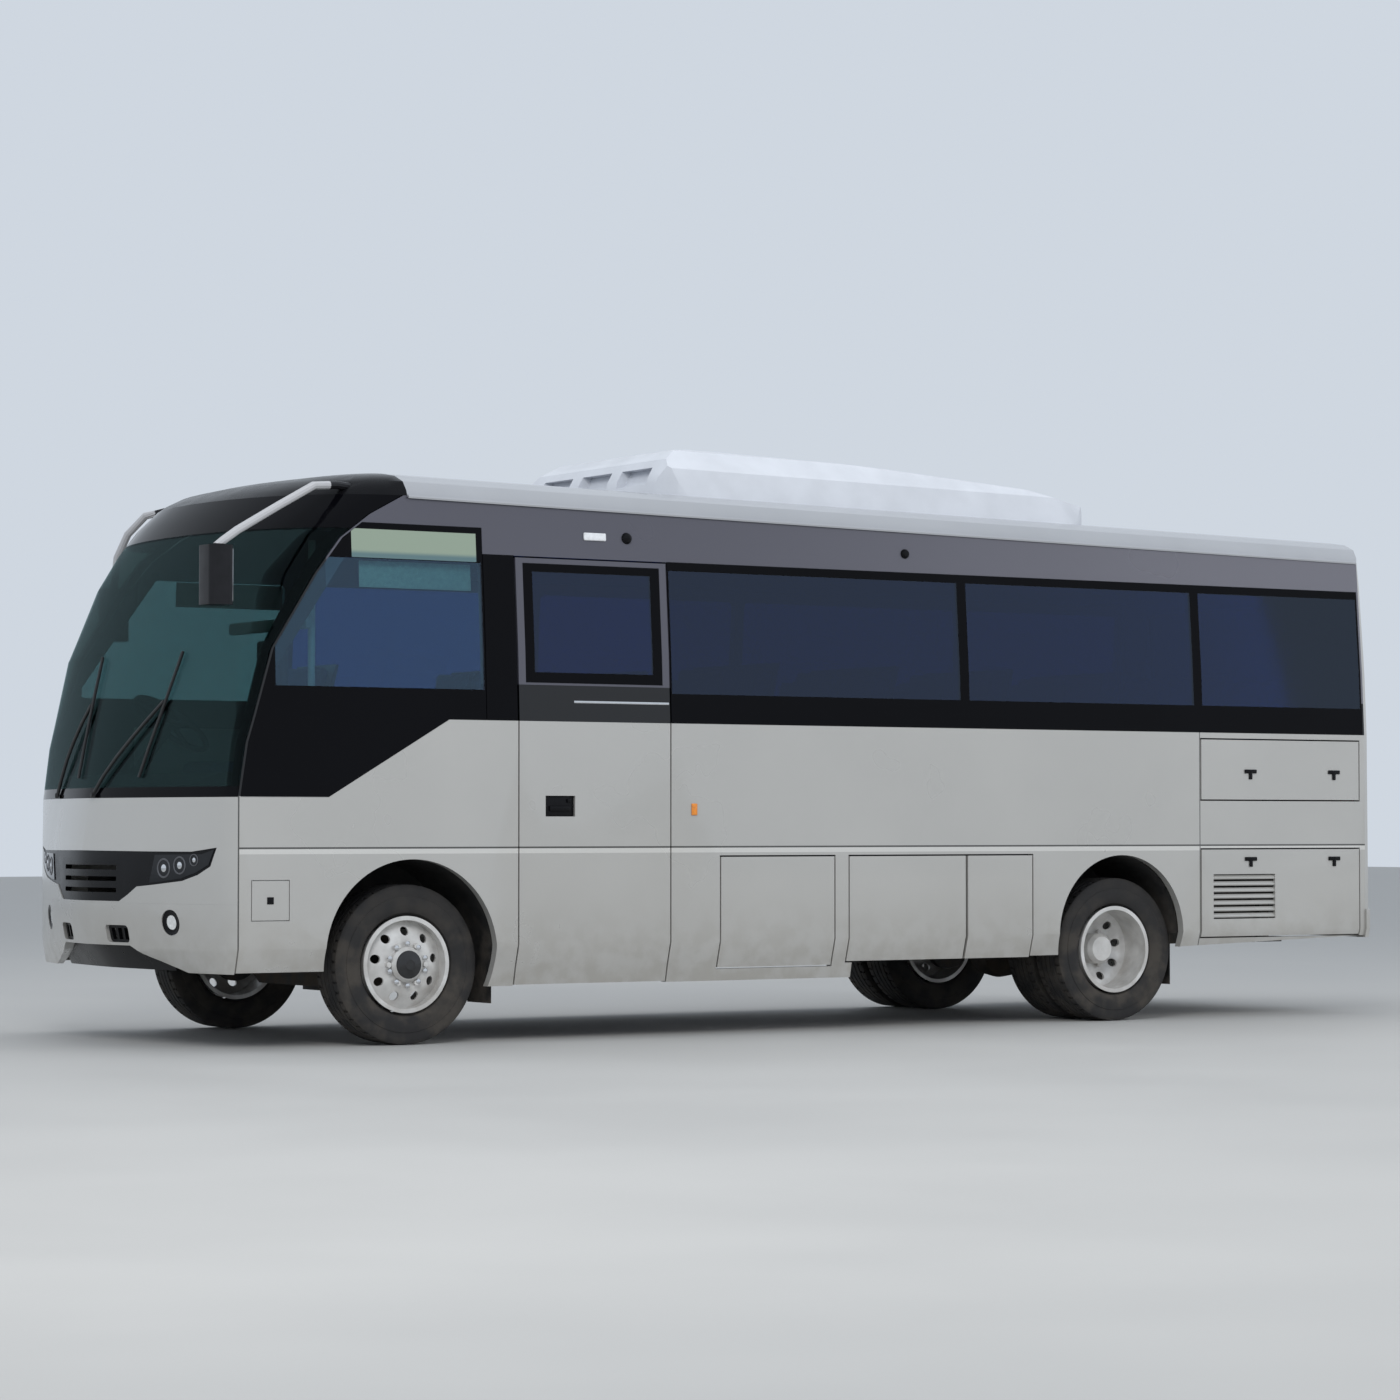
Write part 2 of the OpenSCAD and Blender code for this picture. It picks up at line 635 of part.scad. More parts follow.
tail_lamp_z = [792, 1362];
module rear_panel() {
  color([0.72, 0.71, 0.69]) difference() {
    intersection() {
      end_band(false, rear_bumper_top + 1, roof_height - 65, -1, 1, 0, wall);
      union() {
        under_gutter();
        roof_tilt() along_x(tail_x - 50, corner_x + 50) polygon(roof_line(roof_skin));
      }
    }
    rear_cut(rear_window[0], rear_window[1], rear_window[2], 0);
    rear_cut(engine_lid_z[0], engine_lid_z[1], engine_lid_y, panel_gap);
    for (side = [1, -1]) sides(side)
      along_x(tail_x - 20, corner_x - 10) translate([850, tail_lamp_z[0]])
        square([230, tail_lamp_z[1] - tail_lamp_z[0]]);
  }
}

module rear_glass() {
  color([0.1, 0.13, 0.22, 0.6]) intersection() {
    end_band(false, rear_window[0] - 10, rear_window[1] + 10, -0.9, 0.9, 2, 2 + glass);
    rear_cut(rear_window[0], rear_window[1], rear_window[2], -fit);
  }
}

module engine_lid() {
  color([0.72, 0.71, 0.69]) difference() {
    intersection() {
      end_band(false, rear_bumper_top + 1, engine_lid_z[1] + 100, -0.95, 0.95, 0, wall);
      rear_cut(engine_lid_z[0], engine_lid_z[1], engine_lid_y, 0);
    }
    for (z = [792:60:1032])
      along_x(tail_x - 20, corner_x) translate([-420, z]) square([840, 26]);
  }
}

module tail_lamps() {
  color([0.6, 0.05, 0.04]) for (side = [1, -1]) sides(side)
    intersection() {
      end_band(false, tail_lamp_z[0] - 10, tail_lamp_z[1] + 10, 0.02, 1, 3, 40);
      along_x(tail_x - 20, corner_x - 10 - fit) translate([850 + fit, tail_lamp_z[0] + fit])
        square([230 - 2 * fit, tail_lamp_z[1] - tail_lamp_z[0] - 2 * fit]);
    }
}

module rear_bumper() {
  color([0.72, 0.71, 0.69]) difference() {
    end_band(false, skirt_rear, rear_bumper_top, -1, 1, -bumper_proud, 60);
    along_x(tail_x - 60, corner_x) translate([-260, 462]) square([520, 110]);
  }
}

// Roof air conditioner: a long low housing that tapers to the rear and sits on the roof's curve
ac_x1 = station_x - 1700;
ac_x0 = ac_x1 - ac_length;
module air_conditioner() {
  z0 = roof_height - 20;
  function up(share) = roof_height - 4 + ac_height * share;
  side_line = [
    [ac_x1, z0], [ac_x1 - 22, up(0.35)], [ac_x1 - 75, up(0.7)], [ac_x1 - 170, up(0.92)], [ac_x1 - 330, up(1)],
    [ac_x1 - 520, up(1)], [ac_x1 - 1500, up(0.86)], [ac_x0 + 420, up(0.64)], [ac_x0 + 70, up(0.34)], [ac_x0, z0]];
  half_line = [[ac_width / 2, z0], [ac_width / 2 - 40, up(0.5)], [ac_width / 2 - 170, up(0.9)],
    [ac_width / 2 - 320, up(1)]];
  color([0.85, 0.86, 0.87]) roof_tilt() difference() {
    intersection() {
      along_y(-ac_width / 2, ac_width / 2) polygon(side_line);
      along_x(ac_x0, ac_x1) polygon(concat(half_line, [for (i = [3:-1:0]) [-half_line[i][0], half_line[i][1]]]));
      translate([0, 0, z0]) linear_extrude(ac_height + 20) offset(r = 180)
        translate([ac_x0 + 180, -ac_width / 2 + 180]) square([ac_length - 360, ac_width - 360]);
    }
    along_x(ac_x0 - 1, ac_x1 + 1) polygon(roof_line(0));
    for (y = [-400, 0, 400])
      along_y(y - 150, y + 150) polygon([
        [ac_x1 - 60, up(0) + 60], [ac_x1 + 20, up(0) + 60], [ac_x1 + 20, up(0) + 150],
        [ac_x1 - 110, up(0) + 150]]);
    for (x = [ac_x1 - 700, ac_x1 - 1250, ac_x1 - 1800])
      translate([x, 0, up(0.7)]) cylinder(r = 190, h = ac_height);
  }
}

// Closed tube along a list of points
module tube(path, r, sides = 10) {
  n = len(path);
  function way(i) = let (a = path[max(i - 1, 0)], b = path[min(i + 1, n - 1)]) (b - a) / norm(b - a);
  rings = [for (i = [0:n - 1]) let (w = way(i), e = cross(w, [0.3, 1, 0]), u = e / norm(e), v = cross(w, u))
    for (k = [0:sides - 1]) path[i] + r * (cos(k * 360 / sides) * u + sin(k * 360 / sides) * v)];
  faces = concat(
    [[for (k = [0:sides - 1]) k]], [[for (k = [sides - 1:-1:0]) (n - 1) * sides + k]],
    [for (i = [0:n - 2], k = [0:sides - 1]) let (a = i * sides + k, b = i * sides + (k + 1) % sides)
      each [[a, a + sides, b + sides], [a, b + sides, b]]]);
  polyhedron(rings, faces);
}

// Point of a cubic curve with four control points
function curve(c, t) = let (q = 1 - t)
  q * q * q * c[0] + 3 * q * q * t * c[1] + 3 * q * t * t * c[2] + t * t * t * c[3];

// Mirrors: the left one far in front of its pillar, the right one close beside the driver's window
function mirror_point(x, y, z) = [nose_x + x, half + y, windscreen_top + z];
mirror_z = [windscreen_top - 575, windscreen_top - 295];
mirror_arm_r = 20;
mirror_foot = mirror_point(-1015, -218, 40);
mirror_way = [125, 50, 3];
mirror_left = [mirror_point(-735, -100, 28), mirror_point(-515, -30, -82), mirror_point(-255, 50, -217),
  mirror_point(-165, 82, -272)];
mirror_right = [mirror_point(-815, -90, 23), mirror_point(-755, 0, -72), mirror_point(-725, 65, -192),
  mirror_point(-720, 85, -322)];
module mirror_set(way, x, y, drop) {
  z0 = mirror_z[0] - drop;
  z1 = mirror_z[1] - drop;
  difference() {
    translate([x, y, z0]) linear_extrude(z1 - z0)
      offset(r = 30, $fn = 24) translate([-32, -45]) square([64, 90]);
    translate([x - 66, y - 62, z0 + 15]) cube([12, 124, z1 - z0 - 30]);
  }
  tube(concat([mirror_foot, mirror_foot + mirror_way * 0.5, mirror_foot + mirror_way], way,
    [[x, y, z1 - 5]]), mirror_arm_r);
}
module mirrors() {
  color([0.1, 0.1, 0.11]) {
    mirror_set(mirror_left, nose_x - 125, half + 95, 0);
    sides(-1) mirror_set(mirror_right, nose_x - 720, half + 95, 60);
  }
}

// Wipers: parking place in plan and reach
wiper_rows = [[-0.42, 0.3], [0.06, 0.3]];
wiper_z = windscreen_bottom + 16;
module wipers() {
  function on_glass(u, z, d) = let (p = front_point(u, z, -d)) [p[0], p[1], z];
  color([0.12, 0.12, 0.13]) for (w = wiper_rows) {
    tube([for (i = [0:5]) on_glass(w[0] + w[1] * i / 5, wiper_z + 90 * i, 14 + 8 * sin(180 * i / 5))], 9, 8);
    tube([for (z = [1300, 1459, 1600, 1750, 1905]) on_glass(w[0] + w[1] + (z - 1600) * 0.0001, z, 11)], 8, 8);
    tube([on_glass(w[0], wiper_z, 8), on_glass(w[0], wiper_z, 26)], 13, 12);
  }
}

// Ladder frame
rail_y = 400;
rail_z = [632, 832];
rail_t = 8;
rail_flange = 65;
module chassis_frame() {
  color([0.12, 0.12, 0.13]) {
    for (side = [1, -1]) sides(side)
      along_x(tail_x + 160, nose_x - 240) translate([rail_y, rail_z[0]]) difference() {
        square([rail_flange, rail_z[1] - rail_z[0]]);
        translate([-1, rail_t]) square([rail_flange - rail_t + 1, rail_z[1] - rail_z[0] - 2 * rail_t]);
      }
    for (x = [tail_x + 200, rear_x - 600, rear_x + 820, -100, front_x - 900, front_x + 620, nose_x - 410])
      translate([x, -rail_y - rail_flange + rail_t, rail_z[0] + 40])
        cube([70, 2 * (rail_y + rail_flange - rail_t), rail_z[1] - rail_z[0] - 80]);
    for (s = [1, -1]) {
      tow_eye(tail_x + 100, 1, s * tow_y);
      tow_eye(nose_x - 240, -1, s * tow_y);
    }
  }
}

tow_y = 330;
tow_z = 404;
// Towing eye: a lug with an upright bore under a hanger from the rail's cross-member
module tow_eye(x, way, y) {
  translate([x, y, tow_z]) mirror([way > 0 ? 0 : 1, 0, 0]) {
    difference() {
      translate([0, -35, -15]) cube([180, 70, 30]);
      translate([40, 0, -16]) cylinder(r = tow_bore_r, h = 32);
    }
    translate([100, -35, 15]) cube([70, 70, rail_z[0] + 60 - tow_z - 15]);
  }
}

spring_y = 400;
front_beam_z = 300;
module front_axle() {
  color([0.15, 0.15, 0.16]) difference() {
    union() {
      for (side = [1, -1]) sides(side) {
        translate([front_x, kingpin_y, axle_z - 55]) cylinder(r = kingpin_r + 22, h = 110);
        translate([0, 0, 0]) along_y(kingpin_y - 130, kingpin_y - 20)
          translate([front_x - 35, axle_z - 45]) square([70, 90]);
        hull() {
          along_y(kingpin_y - 140, kingpin_y - 125) translate([front_x - 35, axle_z - 45]) square([70, 90]);
          along_y(spring_y + 75, spring_y + 80) translate([front_x - 40, front_beam_z - 45]) square([80, 90]);
        }
      }
      along_y(-spring_y - 80, spring_y + 80) translate([front_x - 40, front_beam_z - 45]) square([80, 90]);
      for (side = [1, -1])
        translate([front_x - 90, side * spring_y - 50, front_beam_z + 40]) cube([180, 100, 30]);
    }
    for (side = [1, -1])
      translate([front_x, side * kingpin_y, axle_z - 60]) cylinder(r = kingpin_r + run_gap, h = 120);
  }
}

rear_hub_y = rear_tyre_y - twin_spacing / 2;
module rear_axle() {
  color([0.15, 0.15, 0.16]) {
    translate([rear_x, 0, axle_z]) rotate([90, 0, 0]) cylinder(r = 62, h = 1000, center = true);
    translate([rear_x, 0, axle_z]) rotate([90, 0, 0]) rotate_extrude()
      polygon([[0, -170], [90, -150], [175, -70], [185, 0], [175, 70], [90, 150], [0, 170]]);
    for (side = [1, -1]) sides(side) {
      translate([rear_x, 499, axle_z]) rotate([-90, 0, 0]) cylinder(r = 48, h = rear_tyre_y - 499 - 20);
      translate([rear_x, 480, axle_z]) rotate([-90, 0, 0]) cylinder(r = 150, h = 40);
      translate([rear_x - 90, spring_y - 50, axle_z + 58]) cube([180, 100, 22]);
    }
  }
}

// Stepped leaf pack: every leaf shorter than the one above it
leaf_t = 11;
leaf_rise = 55;
module leaf_pack(x, y, z, reach, leaves) {
  function run(i) = reach * (1 - 0.75 * i / leaves);
  function arc(i) = leaf_rise * pow(run(i) / reach, 2);
  half_line = concat(
    [[0, 0]],
    [for (i = [leaves - 1:-1:0]) each [
      [run(i), arc(i) + leaf_t * (leaves - 1 - i)], [run(i), arc(i) + leaf_t * (leaves - i)]]],
    [for (i = [1:leaves - 1]) [run(i), arc(i) + leaf_t * leaves]],
    [[0, leaf_t * leaves]]);
  for (turn = [0, 1])
    translate([x, y, z]) mirror([turn, 0, 0]) along_y(-38, 38) polygon(half_line);
}

// Hanger from the end of the top leaf to the rail
module spring_hanger(x, side, z) {
  translate([x - 15, side * spring_y - 30, z]) cube([30, 60, rail_z[0] - z]);
}

module leaf_springs() {
  reach = 620;
  color([0.13, 0.13, 0.14]) for (side = [1, -1]) {
    leaf_pack(front_x, side * spring_y, front_beam_z + 70, reach, 4);
    leaf_pack(rear_x, side * spring_y, axle_z + 80, reach, 5);
    for (x = [front_x - reach, front_x + reach])
      spring_hanger(x, side, front_beam_z + 70 + 4 * leaf_t + 50);
    for (x = [rear_x - reach, rear_x + reach])
      spring_hanger(x, side, axle_z + 80 + 5 * leaf_t + 30);
  }
}

module engine_block() {
  color([0.3, 0.3, 0.31]) translate([tail_x + 335, -rail_y, 390]) cube([rear_x - tail_x - 975, 2 * rail_y, rail_z[1] - 400]);
}

silencer_y = -840;
silencer_z = 592;
module exhaust() {
  color([0.45, 0.44, 0.43]) {
    translate([tail_place(440), silencer_y, silencer_z]) rotate([0, 90, 0]) cylinder(r = 110, h = tail_place(960) - tail_place(440));
    for (x = [tail_place(540), tail_place(820)])
      translate([x, silencer_y - 10, silencer_z + 105]) cube([40, 20, floor_low - silencer_z - 105]);
    tube([[tail_place(460), silencer_y, silencer_z - 15], [tail_place(320), silencer_y, silencer_z - 20],
      [tail_place(240), silencer_y, silencer_z - 35], [tail_place(170), silencer_y, silencer_z - 70]], 32);
    tube([[tail_place(940), silencer_y, silencer_z], [tail_place(1040), -830, silencer_z + 5],
      [tail_place(1100), -770, silencer_z + 20], [tail_place(1110), -690, silencer_z + 50],
      [tail_place(1110), -560, silencer_z + 88], [tail_place(1110), -rail_y - rail_flange - fit, silencer_z + 88]], 32);
  }
}

air_tank_r = 110;
module tanks() {
  color([0.55, 0.55, 0.56]) {
    along_x(front_x - 1750, front_x - 950)
      offset(r = 60) translate([-rail_y + 60, rail_z[0] - 180]) square([2 * rail_y - 120, 200]);
    for (y = [-200, 200])
      translate([back(3700), y, rail_z[0] + 40 - air_tank_r - fit]) rotate([0, 90, 0]) rotate_extrude()
        polygon([[0, -10], [70, 0], [air_tank_r, 40], [air_tank_r, 460], [70, 500], [0, 510]]);
  }
}

// Steps behind the door: inner edge and height of each tread
step_rows = [[860, 382], [660, 577], [500, 772]];
step_t = 20;
floor_low = floor_height - floor_thickness;
floor_y = half - wall;
module deck_plate(x0, x1, y1) {
  translate([0, 0, floor_low]) linear_extrude(floor_thickness) intersection() {
    polygon(concat([for (u = spread(-1, 1, front_steps)) front_point(-u, floor_height, wall + 2)],
      rear_outline(floor_height, wall + 8)));
    translate([x0, -half]) square([x1 - x0, half + y1]);
  }
}
// Deck in three plates round the stairwell, steps of folded panels, bearers on the rails
module floor_deck() {
  bearer_mid = (front_x + rear_x) / 2;
  color([0.35, 0.35, 0.36]) {
    deck_plate(tail_x, door_x0 - panel_gap, half);
    deck_plate(door_x0 - panel_gap + fit, door_x1 + panel_gap - fit, step_rows[2][0]);
    deck_plate(door_x1 + panel_gap, nose_x, half);
    for (i = [0:2]) {
      outer = i > 0 ? step_rows[i - 1][0] : half_at(step_rows[0][1]) - wall - 12;
      top = (i < 2 ? step_rows[i + 1][1] - step_t : floor_low) - fit;
      translate([door_x0, step_rows[i][0] + fit, step_rows[i][1] - step_t])
        cube([door_width, outer - step_rows[i][0] - fit, step_t]);
      translate([door_x0, step_rows[i][0] - step_t, step_rows[i][1] - step_t])
        cube([door_width, step_t, top - step_rows[i][1] + step_t]);
    }
    for (x = [corner_x + 200, rear_x - 600, rear_x + 820, bearer_mid - 825, bearer_mid - 75,
      front_x - 900, front_x + 620])
      translate([x, -rail_y - rail_flange, rail_z[1]])
        cube([60, 2 * (rail_y + rail_flange), floor_low - fit - rail_z[1]]);
  }
}

bay_top = floor_low;
bay_t = 10;
// Each bay is made of five panels and is open to its flaps
module luggage_bays() {
  x0 = back(bay_ends[1]);
  x1 = back(bay_ends[0]);
  inner = half - wall - bay_depth;
  module bay_part(from, to, y0, z0, z1) {
    along_x(from, to) intersection() {
      polygon([[inner, skirt_mid], [half_at(skirt_mid) - wall, skirt_mid], [half - wall, fold_z],
        [half - wall, bay_top], [inner, bay_top]]);
      translate([y0, z0]) square([half - y0, z1 - z0]);
    }
  }
  color([0.2, 0.2, 0.21]) for (side = [1, -1]) sides(side) {
    along_x(x0, x1) translate([inner, skirt_mid]) square([bay_t, bay_top - skirt_mid]);
    y = inner + bay_t + fit;
    bay_part(x0, x1, y, skirt_mid, skirt_mid + bay_t);
    bay_part(x0, x1, y, bay_top - bay_t, bay_top);
    bay_part(x0, x0 + bay_t, y, skirt_mid + bay_t + fit, bay_top - bay_t - fit);
    bay_part(x1 - bay_t, x1, y, skirt_mid + bay_t + fit, bay_top - bay_t - fit);
  }
}

liner_t = 6;
liner_out = half - wall - 17;
// The liner's crown is widened along the bus by the room that the steered tyre needs
module wheel_liner(x, r, z, y0, room) {
  module arch(d) {
    polygon(concat([for (i = [0:48]) let (a = i * 180 / 48)
      [x + (a < 90 ? room : a > 90 ? -room : 0) + (r + d) * cos(a), z + (r + d) * sin(a)]],
      [[x - room - r - d, z - 200], [x + room + r + d, z - 200]]));
  }
  difference() {
    union() {
      along_y(y0, liner_out) arch(liner_t);
      translate([x - 120, y0 + 60, z + r - 10]) cube([240, liner_out - y0 - 120, floor_low - z - r + 10]);
    }
    along_y(y0 + liner_t, liner_out + 10) arch(0);
    translate([x - r - room - 50, y0 - 1, -r]) cube([2 * (r + room) + 100, liner_out, z + r]);
    translate([x - r - room, y0 - 1, z - 1]) cube([2 * (r + room), liner_t + 2, 120]);
  }
  translate([x - r - room - liner_t, liner_out - 290, 190]) cube([liner_t, 228, z - 180]);
}

steer_room = 30;
module wheel_liners() {
  color([0.08, 0.08, 0.08]) for (side = [1, -1]) sides(side) {
    wheel_liner(front_x + arch_shift, front_arch_r, axle_z + front_arch_lift, 560, steer_room);
    wheel_liner(rear_x + arch_shift, rear_arch_r, axle_z + rear_arch_lift, 535, 0);
  }
}

module dashboard() {
  color([0.12, 0.12, 0.13]) difference() {
    intersection() {
      along_y(-900, 900) polygon([
        [nose_x - 520, floor_height], [nose_x - 560, 1212], [nose_x - 500, 1322], [nose_x - 330, 1322],
        [nose_x - 200, 1232], [nose_x - 200, floor_height]]);
      translate([0, 0, floor_height]) linear_extrude(500) polygon([
        [nose_x - 700, -900], [nose_x - 340, -900], [nose_x - 240, -700], [nose_x - 190, 0],
        [nose_x - 240, 700], [nose_x - 340, 900], [nose_x - 700, 900]]);
    }
    along_y(-880, -330) polygon([
      [nose_x - 600, floor_height + 30], [nose_x - 600, 1162], [nose_x - 400, 1162],
      [nose_x - 330, floor_height + 30]]);
    bar(column_foot, wheel_centre, column_r + fit);
  }
}

driver_y = -600;
column_foot = [nose_x - 470, driver_y, 1212];
wheel_centre = [nose_x - 760, driver_y, 1592];
column_r = 28;
module steering_wheel() {
  d = wheel_centre - column_foot;
  color([0.08, 0.08, 0.08]) {
    bar(column_foot, wheel_centre, column_r);
    translate(wheel_centre) rotate([0, -atan2(-d[0], d[2]), 0]) {
      rotate_extrude() translate([215, 0]) circle(r = 15, $fn = 24);
      cylinder(r = 55, h = 24, center = true);
      for (a = [90, 210, 330]) rotate([0, 0, a]) translate([40, -14, -8]) cube([165, 28, 14]);
    }
  }
}

// Seat rows: x of the cushion's rear edge, y of the pair's middle
seat_gap = 8;
pair_y = floor_y - 25 - seat_width;
bench_x = tail_x + 595;
function row_count(x) = floor((x - bench_x) / seat_pitch + 0.01);
seat_rows = concat([for (i = [row_count(back(1945)):-1:1]) [bench_x + i * seat_pitch, pair_y]],
  [for (i = [row_count(station_x - 1185):-1:1]) [bench_x + i * seat_pitch, -pair_y]]);
cushion_depth = 440;
cushion_t = 110;
back_h = 640;
back_t = 100;
recline = 14;
module seat_pad_pair(width) {
  z = floor_height + seat_height - cushion_t;
  along_y(-width / 2, width / 2) offset(r = 25, $fn = 16) offset(delta = -25)
    translate([10, z]) square([cushion_depth, cushion_t]);
  translate([-20, 0, z + 40]) rotate([0, -recline, 0]) along_y(-width / 2, width / 2)
    offset(r = 25, $fn = 16) offset(delta = -25) translate([-back_t, 0]) square([back_t, back_h]);
}

module seat_pads() {
  color([0.18, 0.2, 0.28]) {
    for (r = seat_rows) translate([r[0], r[1], 0]) seat_pad_pair(2 * seat_width);
    translate([bench_x, 0, 0]) seat_pad_pair(5 * seat_width - 30);
    translate([nose_x - 1330, driver_y, 0]) seat_pad_pair(seat_width + 60);
  }
}

module seat_frame(width) {
  z = floor_height + seat_height - cushion_t;
  along_y(-width / 2 + 10, width / 2 - 10) polygon([
    [-135, z - 30], [cushion_depth, z - 30], [cushion_depth, z - 0.3], [9, z - 0.3], [-16, z + 20],
    [-135, z + 8]]);
  translate([-20, 0, z + 40]) rotate([0, -recline, 0]) along_y(-width / 2 + 20, width / 2 - 20)
    translate([-back_t - 18.3, -30]) square([18, back_h + 10]);
  for (y = [-width / 2 + 60, width / 2 - 100])
    translate([0, y, floor_height]) along_y(0, 40) polygon([
      [40, 0], [100, 0], [160, z - 20 - floor_height], [60, z - 20 - floor_height]]);
}

module seat_frames() {
  color([0.15, 0.15, 0.16]) {
    for (r = seat_rows) translate([r[0], r[1], 0]) seat_frame(2 * seat_width);
    translate([bench_x, 0, 0]) seat_frame(5 * seat_width - 30);
    translate([nose_x - 1330, driver_y, 0]) seat_frame(seat_width + 60);
  }
}

rack_z = side_glass_top + 65;
module luggage_racks() {
  color([0.3, 0.3, 0.32]) for (side = [1, -1]) sides(side)
    along_x(corner_x + 120, back(900)) polygon([
      [half_at(rack_z) - wall - fit, rack_z], [half - 330, rack_z + 10], [half - 400, rack_z + 50],
      [half - 400, rack_z + 80], [half - 385, rack_z + 80], [half - 320, rack_z + 35],
      [half_at(rack_z + 22) - wall - fit, rack_z + 22]]);
}

// Knuckle with its fork, kingpin, spindle and steering arm
fork_t = 30;
boss_h = 110;
arm_reach = 170;
arm_z = axle_z - boss_h / 2 - 2 - fork_t;
ball_r = 9;
module knuckle() {
  color([0.2, 0.2, 0.21]) translate([front_x, 0, 0]) {
    translate([0, kingpin_y, axle_z - boss_h / 2 - fork_t]) cylinder(r = kingpin_r, h = boss_h + 2 * fork_t);
    for (z = [axle_z + boss_h / 2 + 2, axle_z - boss_h / 2 - 2 - fork_t])
      translate([0, 0, z]) linear_extrude(fork_t) hull() {
        translate([0, kingpin_y]) circle(r = kingpin_r + 22);
        translate([-45, kingpin_y + 70]) square([90, 12]);
      }
    translate([-45, kingpin_y + 50, axle_z - boss_h / 2 - 2 - fork_t]) cube([90, 32, boss_h + 2 * fork_t + 4]);
    translate([0, kingpin_y + 70, axle_z]) rotate([-90, 0, 0]) cylinder(r = 140, h = 12);
    translate([0, kingpin_y + 60, axle_z]) rotate([-90, 0, 0])
      cylinder(r = spindle_r, h = front_tyre_y + 80 - kingpin_y - 60);
    translate([0, 0, arm_z]) linear_extrude(20) hull() {
      translate([0, kingpin_y]) circle(r = 20);
      translate([-arm_reach, kingpin_y]) circle(r = 20);
    }
    translate([-arm_reach, kingpin_y, arm_z - 34]) cylinder(r = ball_r, h = 40);
  }
}

module knuckle_left() { knuckle(); }
module knuckle_right() { sides(-1) knuckle(); }

module tie_rod() {
  z = arm_z - 28;
  color([0.2, 0.2, 0.21]) difference() {
    union() {
      for (s = [1, -1]) translate([front_x - arm_reach, s * kingpin_y, z]) cylinder(r = 22, h = 22);
      translate([front_x - arm_reach, -kingpin_y + 18, z + 11]) rotate([-90, 0, 0])
        cylinder(r = 9, h = 2 * kingpin_y - 36);
    }
    for (s = [1, -1])
      translate([front_x - arm_reach, s * kingpin_y, z - 1]) cylinder(r = ball_r + run_gap, h = 24);
  }
}

// Wheels turn about Y; profiles are radius against distance outwards
module about_wheel(x, y) {
  translate([x, y, axle_z]) rotate([-90, 0, 0]) rotate_extrude($fn = 96) children();
}

tyre_half = tyre_width / 2;
bead = rim_radius - 12;
module tyre_profile() {
  polygon([[bead, -97], [rim_radius + 4, -98.5], [300, -tyre_half], [345, -tyre_half + 1],
    [tyre_radius - 13, -tyre_half + 13], [tyre_radius - 2, -tyre_half + 33], [tyre_radius, -40],
    [tyre_radius, 40], [tyre_radius - 2, tyre_half - 33], [tyre_radius - 13, tyre_half - 13],
    [345, tyre_half - 1], [300, tyre_half], [rim_radius + 4, 98.5], [bead, 97]]);
}

module barrel_profile() {
  translate([bead - 8.5, -105]) square([8, 210]);
  for (a = [-105, 99]) translate([bead - 8.5, a]) square([20.5, 6]);
}

module hand_holes(x, y0, y1, count) {
  for (i = [0:count - 1])
    translate([x, y0, axle_z]) rotate([0, i * 360 / count, 0]) translate([0, 0, 162])
      rotate([-90, 0, 0]) cylinder(r = 22, h = y1 - y0, $fn = 32);
}

module studs(x, y, h, count, pcd_r) {
  for (i = [0:count - 1])
    translate([x, y, axle_z]) rotate([0, (i + 0.5) * 360 / count, 0]) translate([0, 0, pcd_r])
      rotate([-90, 0, 0]) cylinder(r = 14, h = h, $fn = 6);
}

hub_bore = spindle_r + run_gap;
module front_rim() {
  color([0.78, 0.78, 0.78]) {
    difference() {
      about_wheel(front_x, front_tyre_y) {
        barrel_profile();
        polygon([[bead - 2, 34], [bead - 2, 46], [190, 64], [150, 88], [118, 97], [84, 97], [84, 86],
          [115, 86], [145, 77], [186, 52]]);
        polygon([[hub_bore, -24], [70, -24], [86, 20], [86, 112], [72, 128], [0, 132], [0, 86], [hub_bore, 86]]);
      }
      hand_holes(front_x, front_tyre_y + 20, front_tyre_y + 110, 9);
    }
    studs(front_x, front_tyre_y + 96, 20, 6, 102);
  }
}

rear_bore = 48 + run_gap;
module rear_rims() {
  mid = -twin_spacing / 2;
  color([0.78, 0.78, 0.78]) {
    difference() {
      union() {
        for (s = [1, -1]) about_wheel(rear_x, rear_tyre_y + mid + s * twin_spacing / 2) {
          barrel_profile();
          polygon([[bead - 2, s * -70], [bead - 2, s * -82], [188, s * -92], [140, s * -121], [110, s * -127],
            [80, s * -127], [80, s * -115], [112, s * -115], [136, s * -110], [182, s * -80]]);
        }
        about_wheel(rear_x, rear_tyre_y)
          polygon([[rear_bore, mid - 60], [84, mid - 60], [84, -30], [66, -6], [0, -2], [0, -16],
            [rear_bore, -16]]);
      }
      hand_holes(rear_x, rear_tyre_y + mid - 60, rear_tyre_y + mid + 60, 9);
    }
    studs(rear_x, rear_tyre_y + mid + 11, 24, 6, 102);
  }
}

module front_tyre_left() { color([0.06, 0.06, 0.06]) about_wheel(front_x, front_tyre_y) tyre_profile(); }
module front_tyre_right() { color([0.06, 0.06, 0.06]) about_wheel(front_x, -front_tyre_y) tyre_profile(); }
module front_rim_left() { front_rim(); }
module front_rim_right() { sides(-1) front_rim(); }
module rear_tyres() {
  color([0.06, 0.06, 0.06])
    for (y = [rear_tyre_y, rear_tyre_y - twin_spacing]) about_wheel(rear_x, y) tyre_profile();
}
module rear_tyres_left() { rear_tyres(); }
module rear_tyres_right() { sides(-1) rear_tyres(); }
module rear_rims_left() { rear_rims(); }
module rear_rims_right() { sides(-1) rear_rims(); }

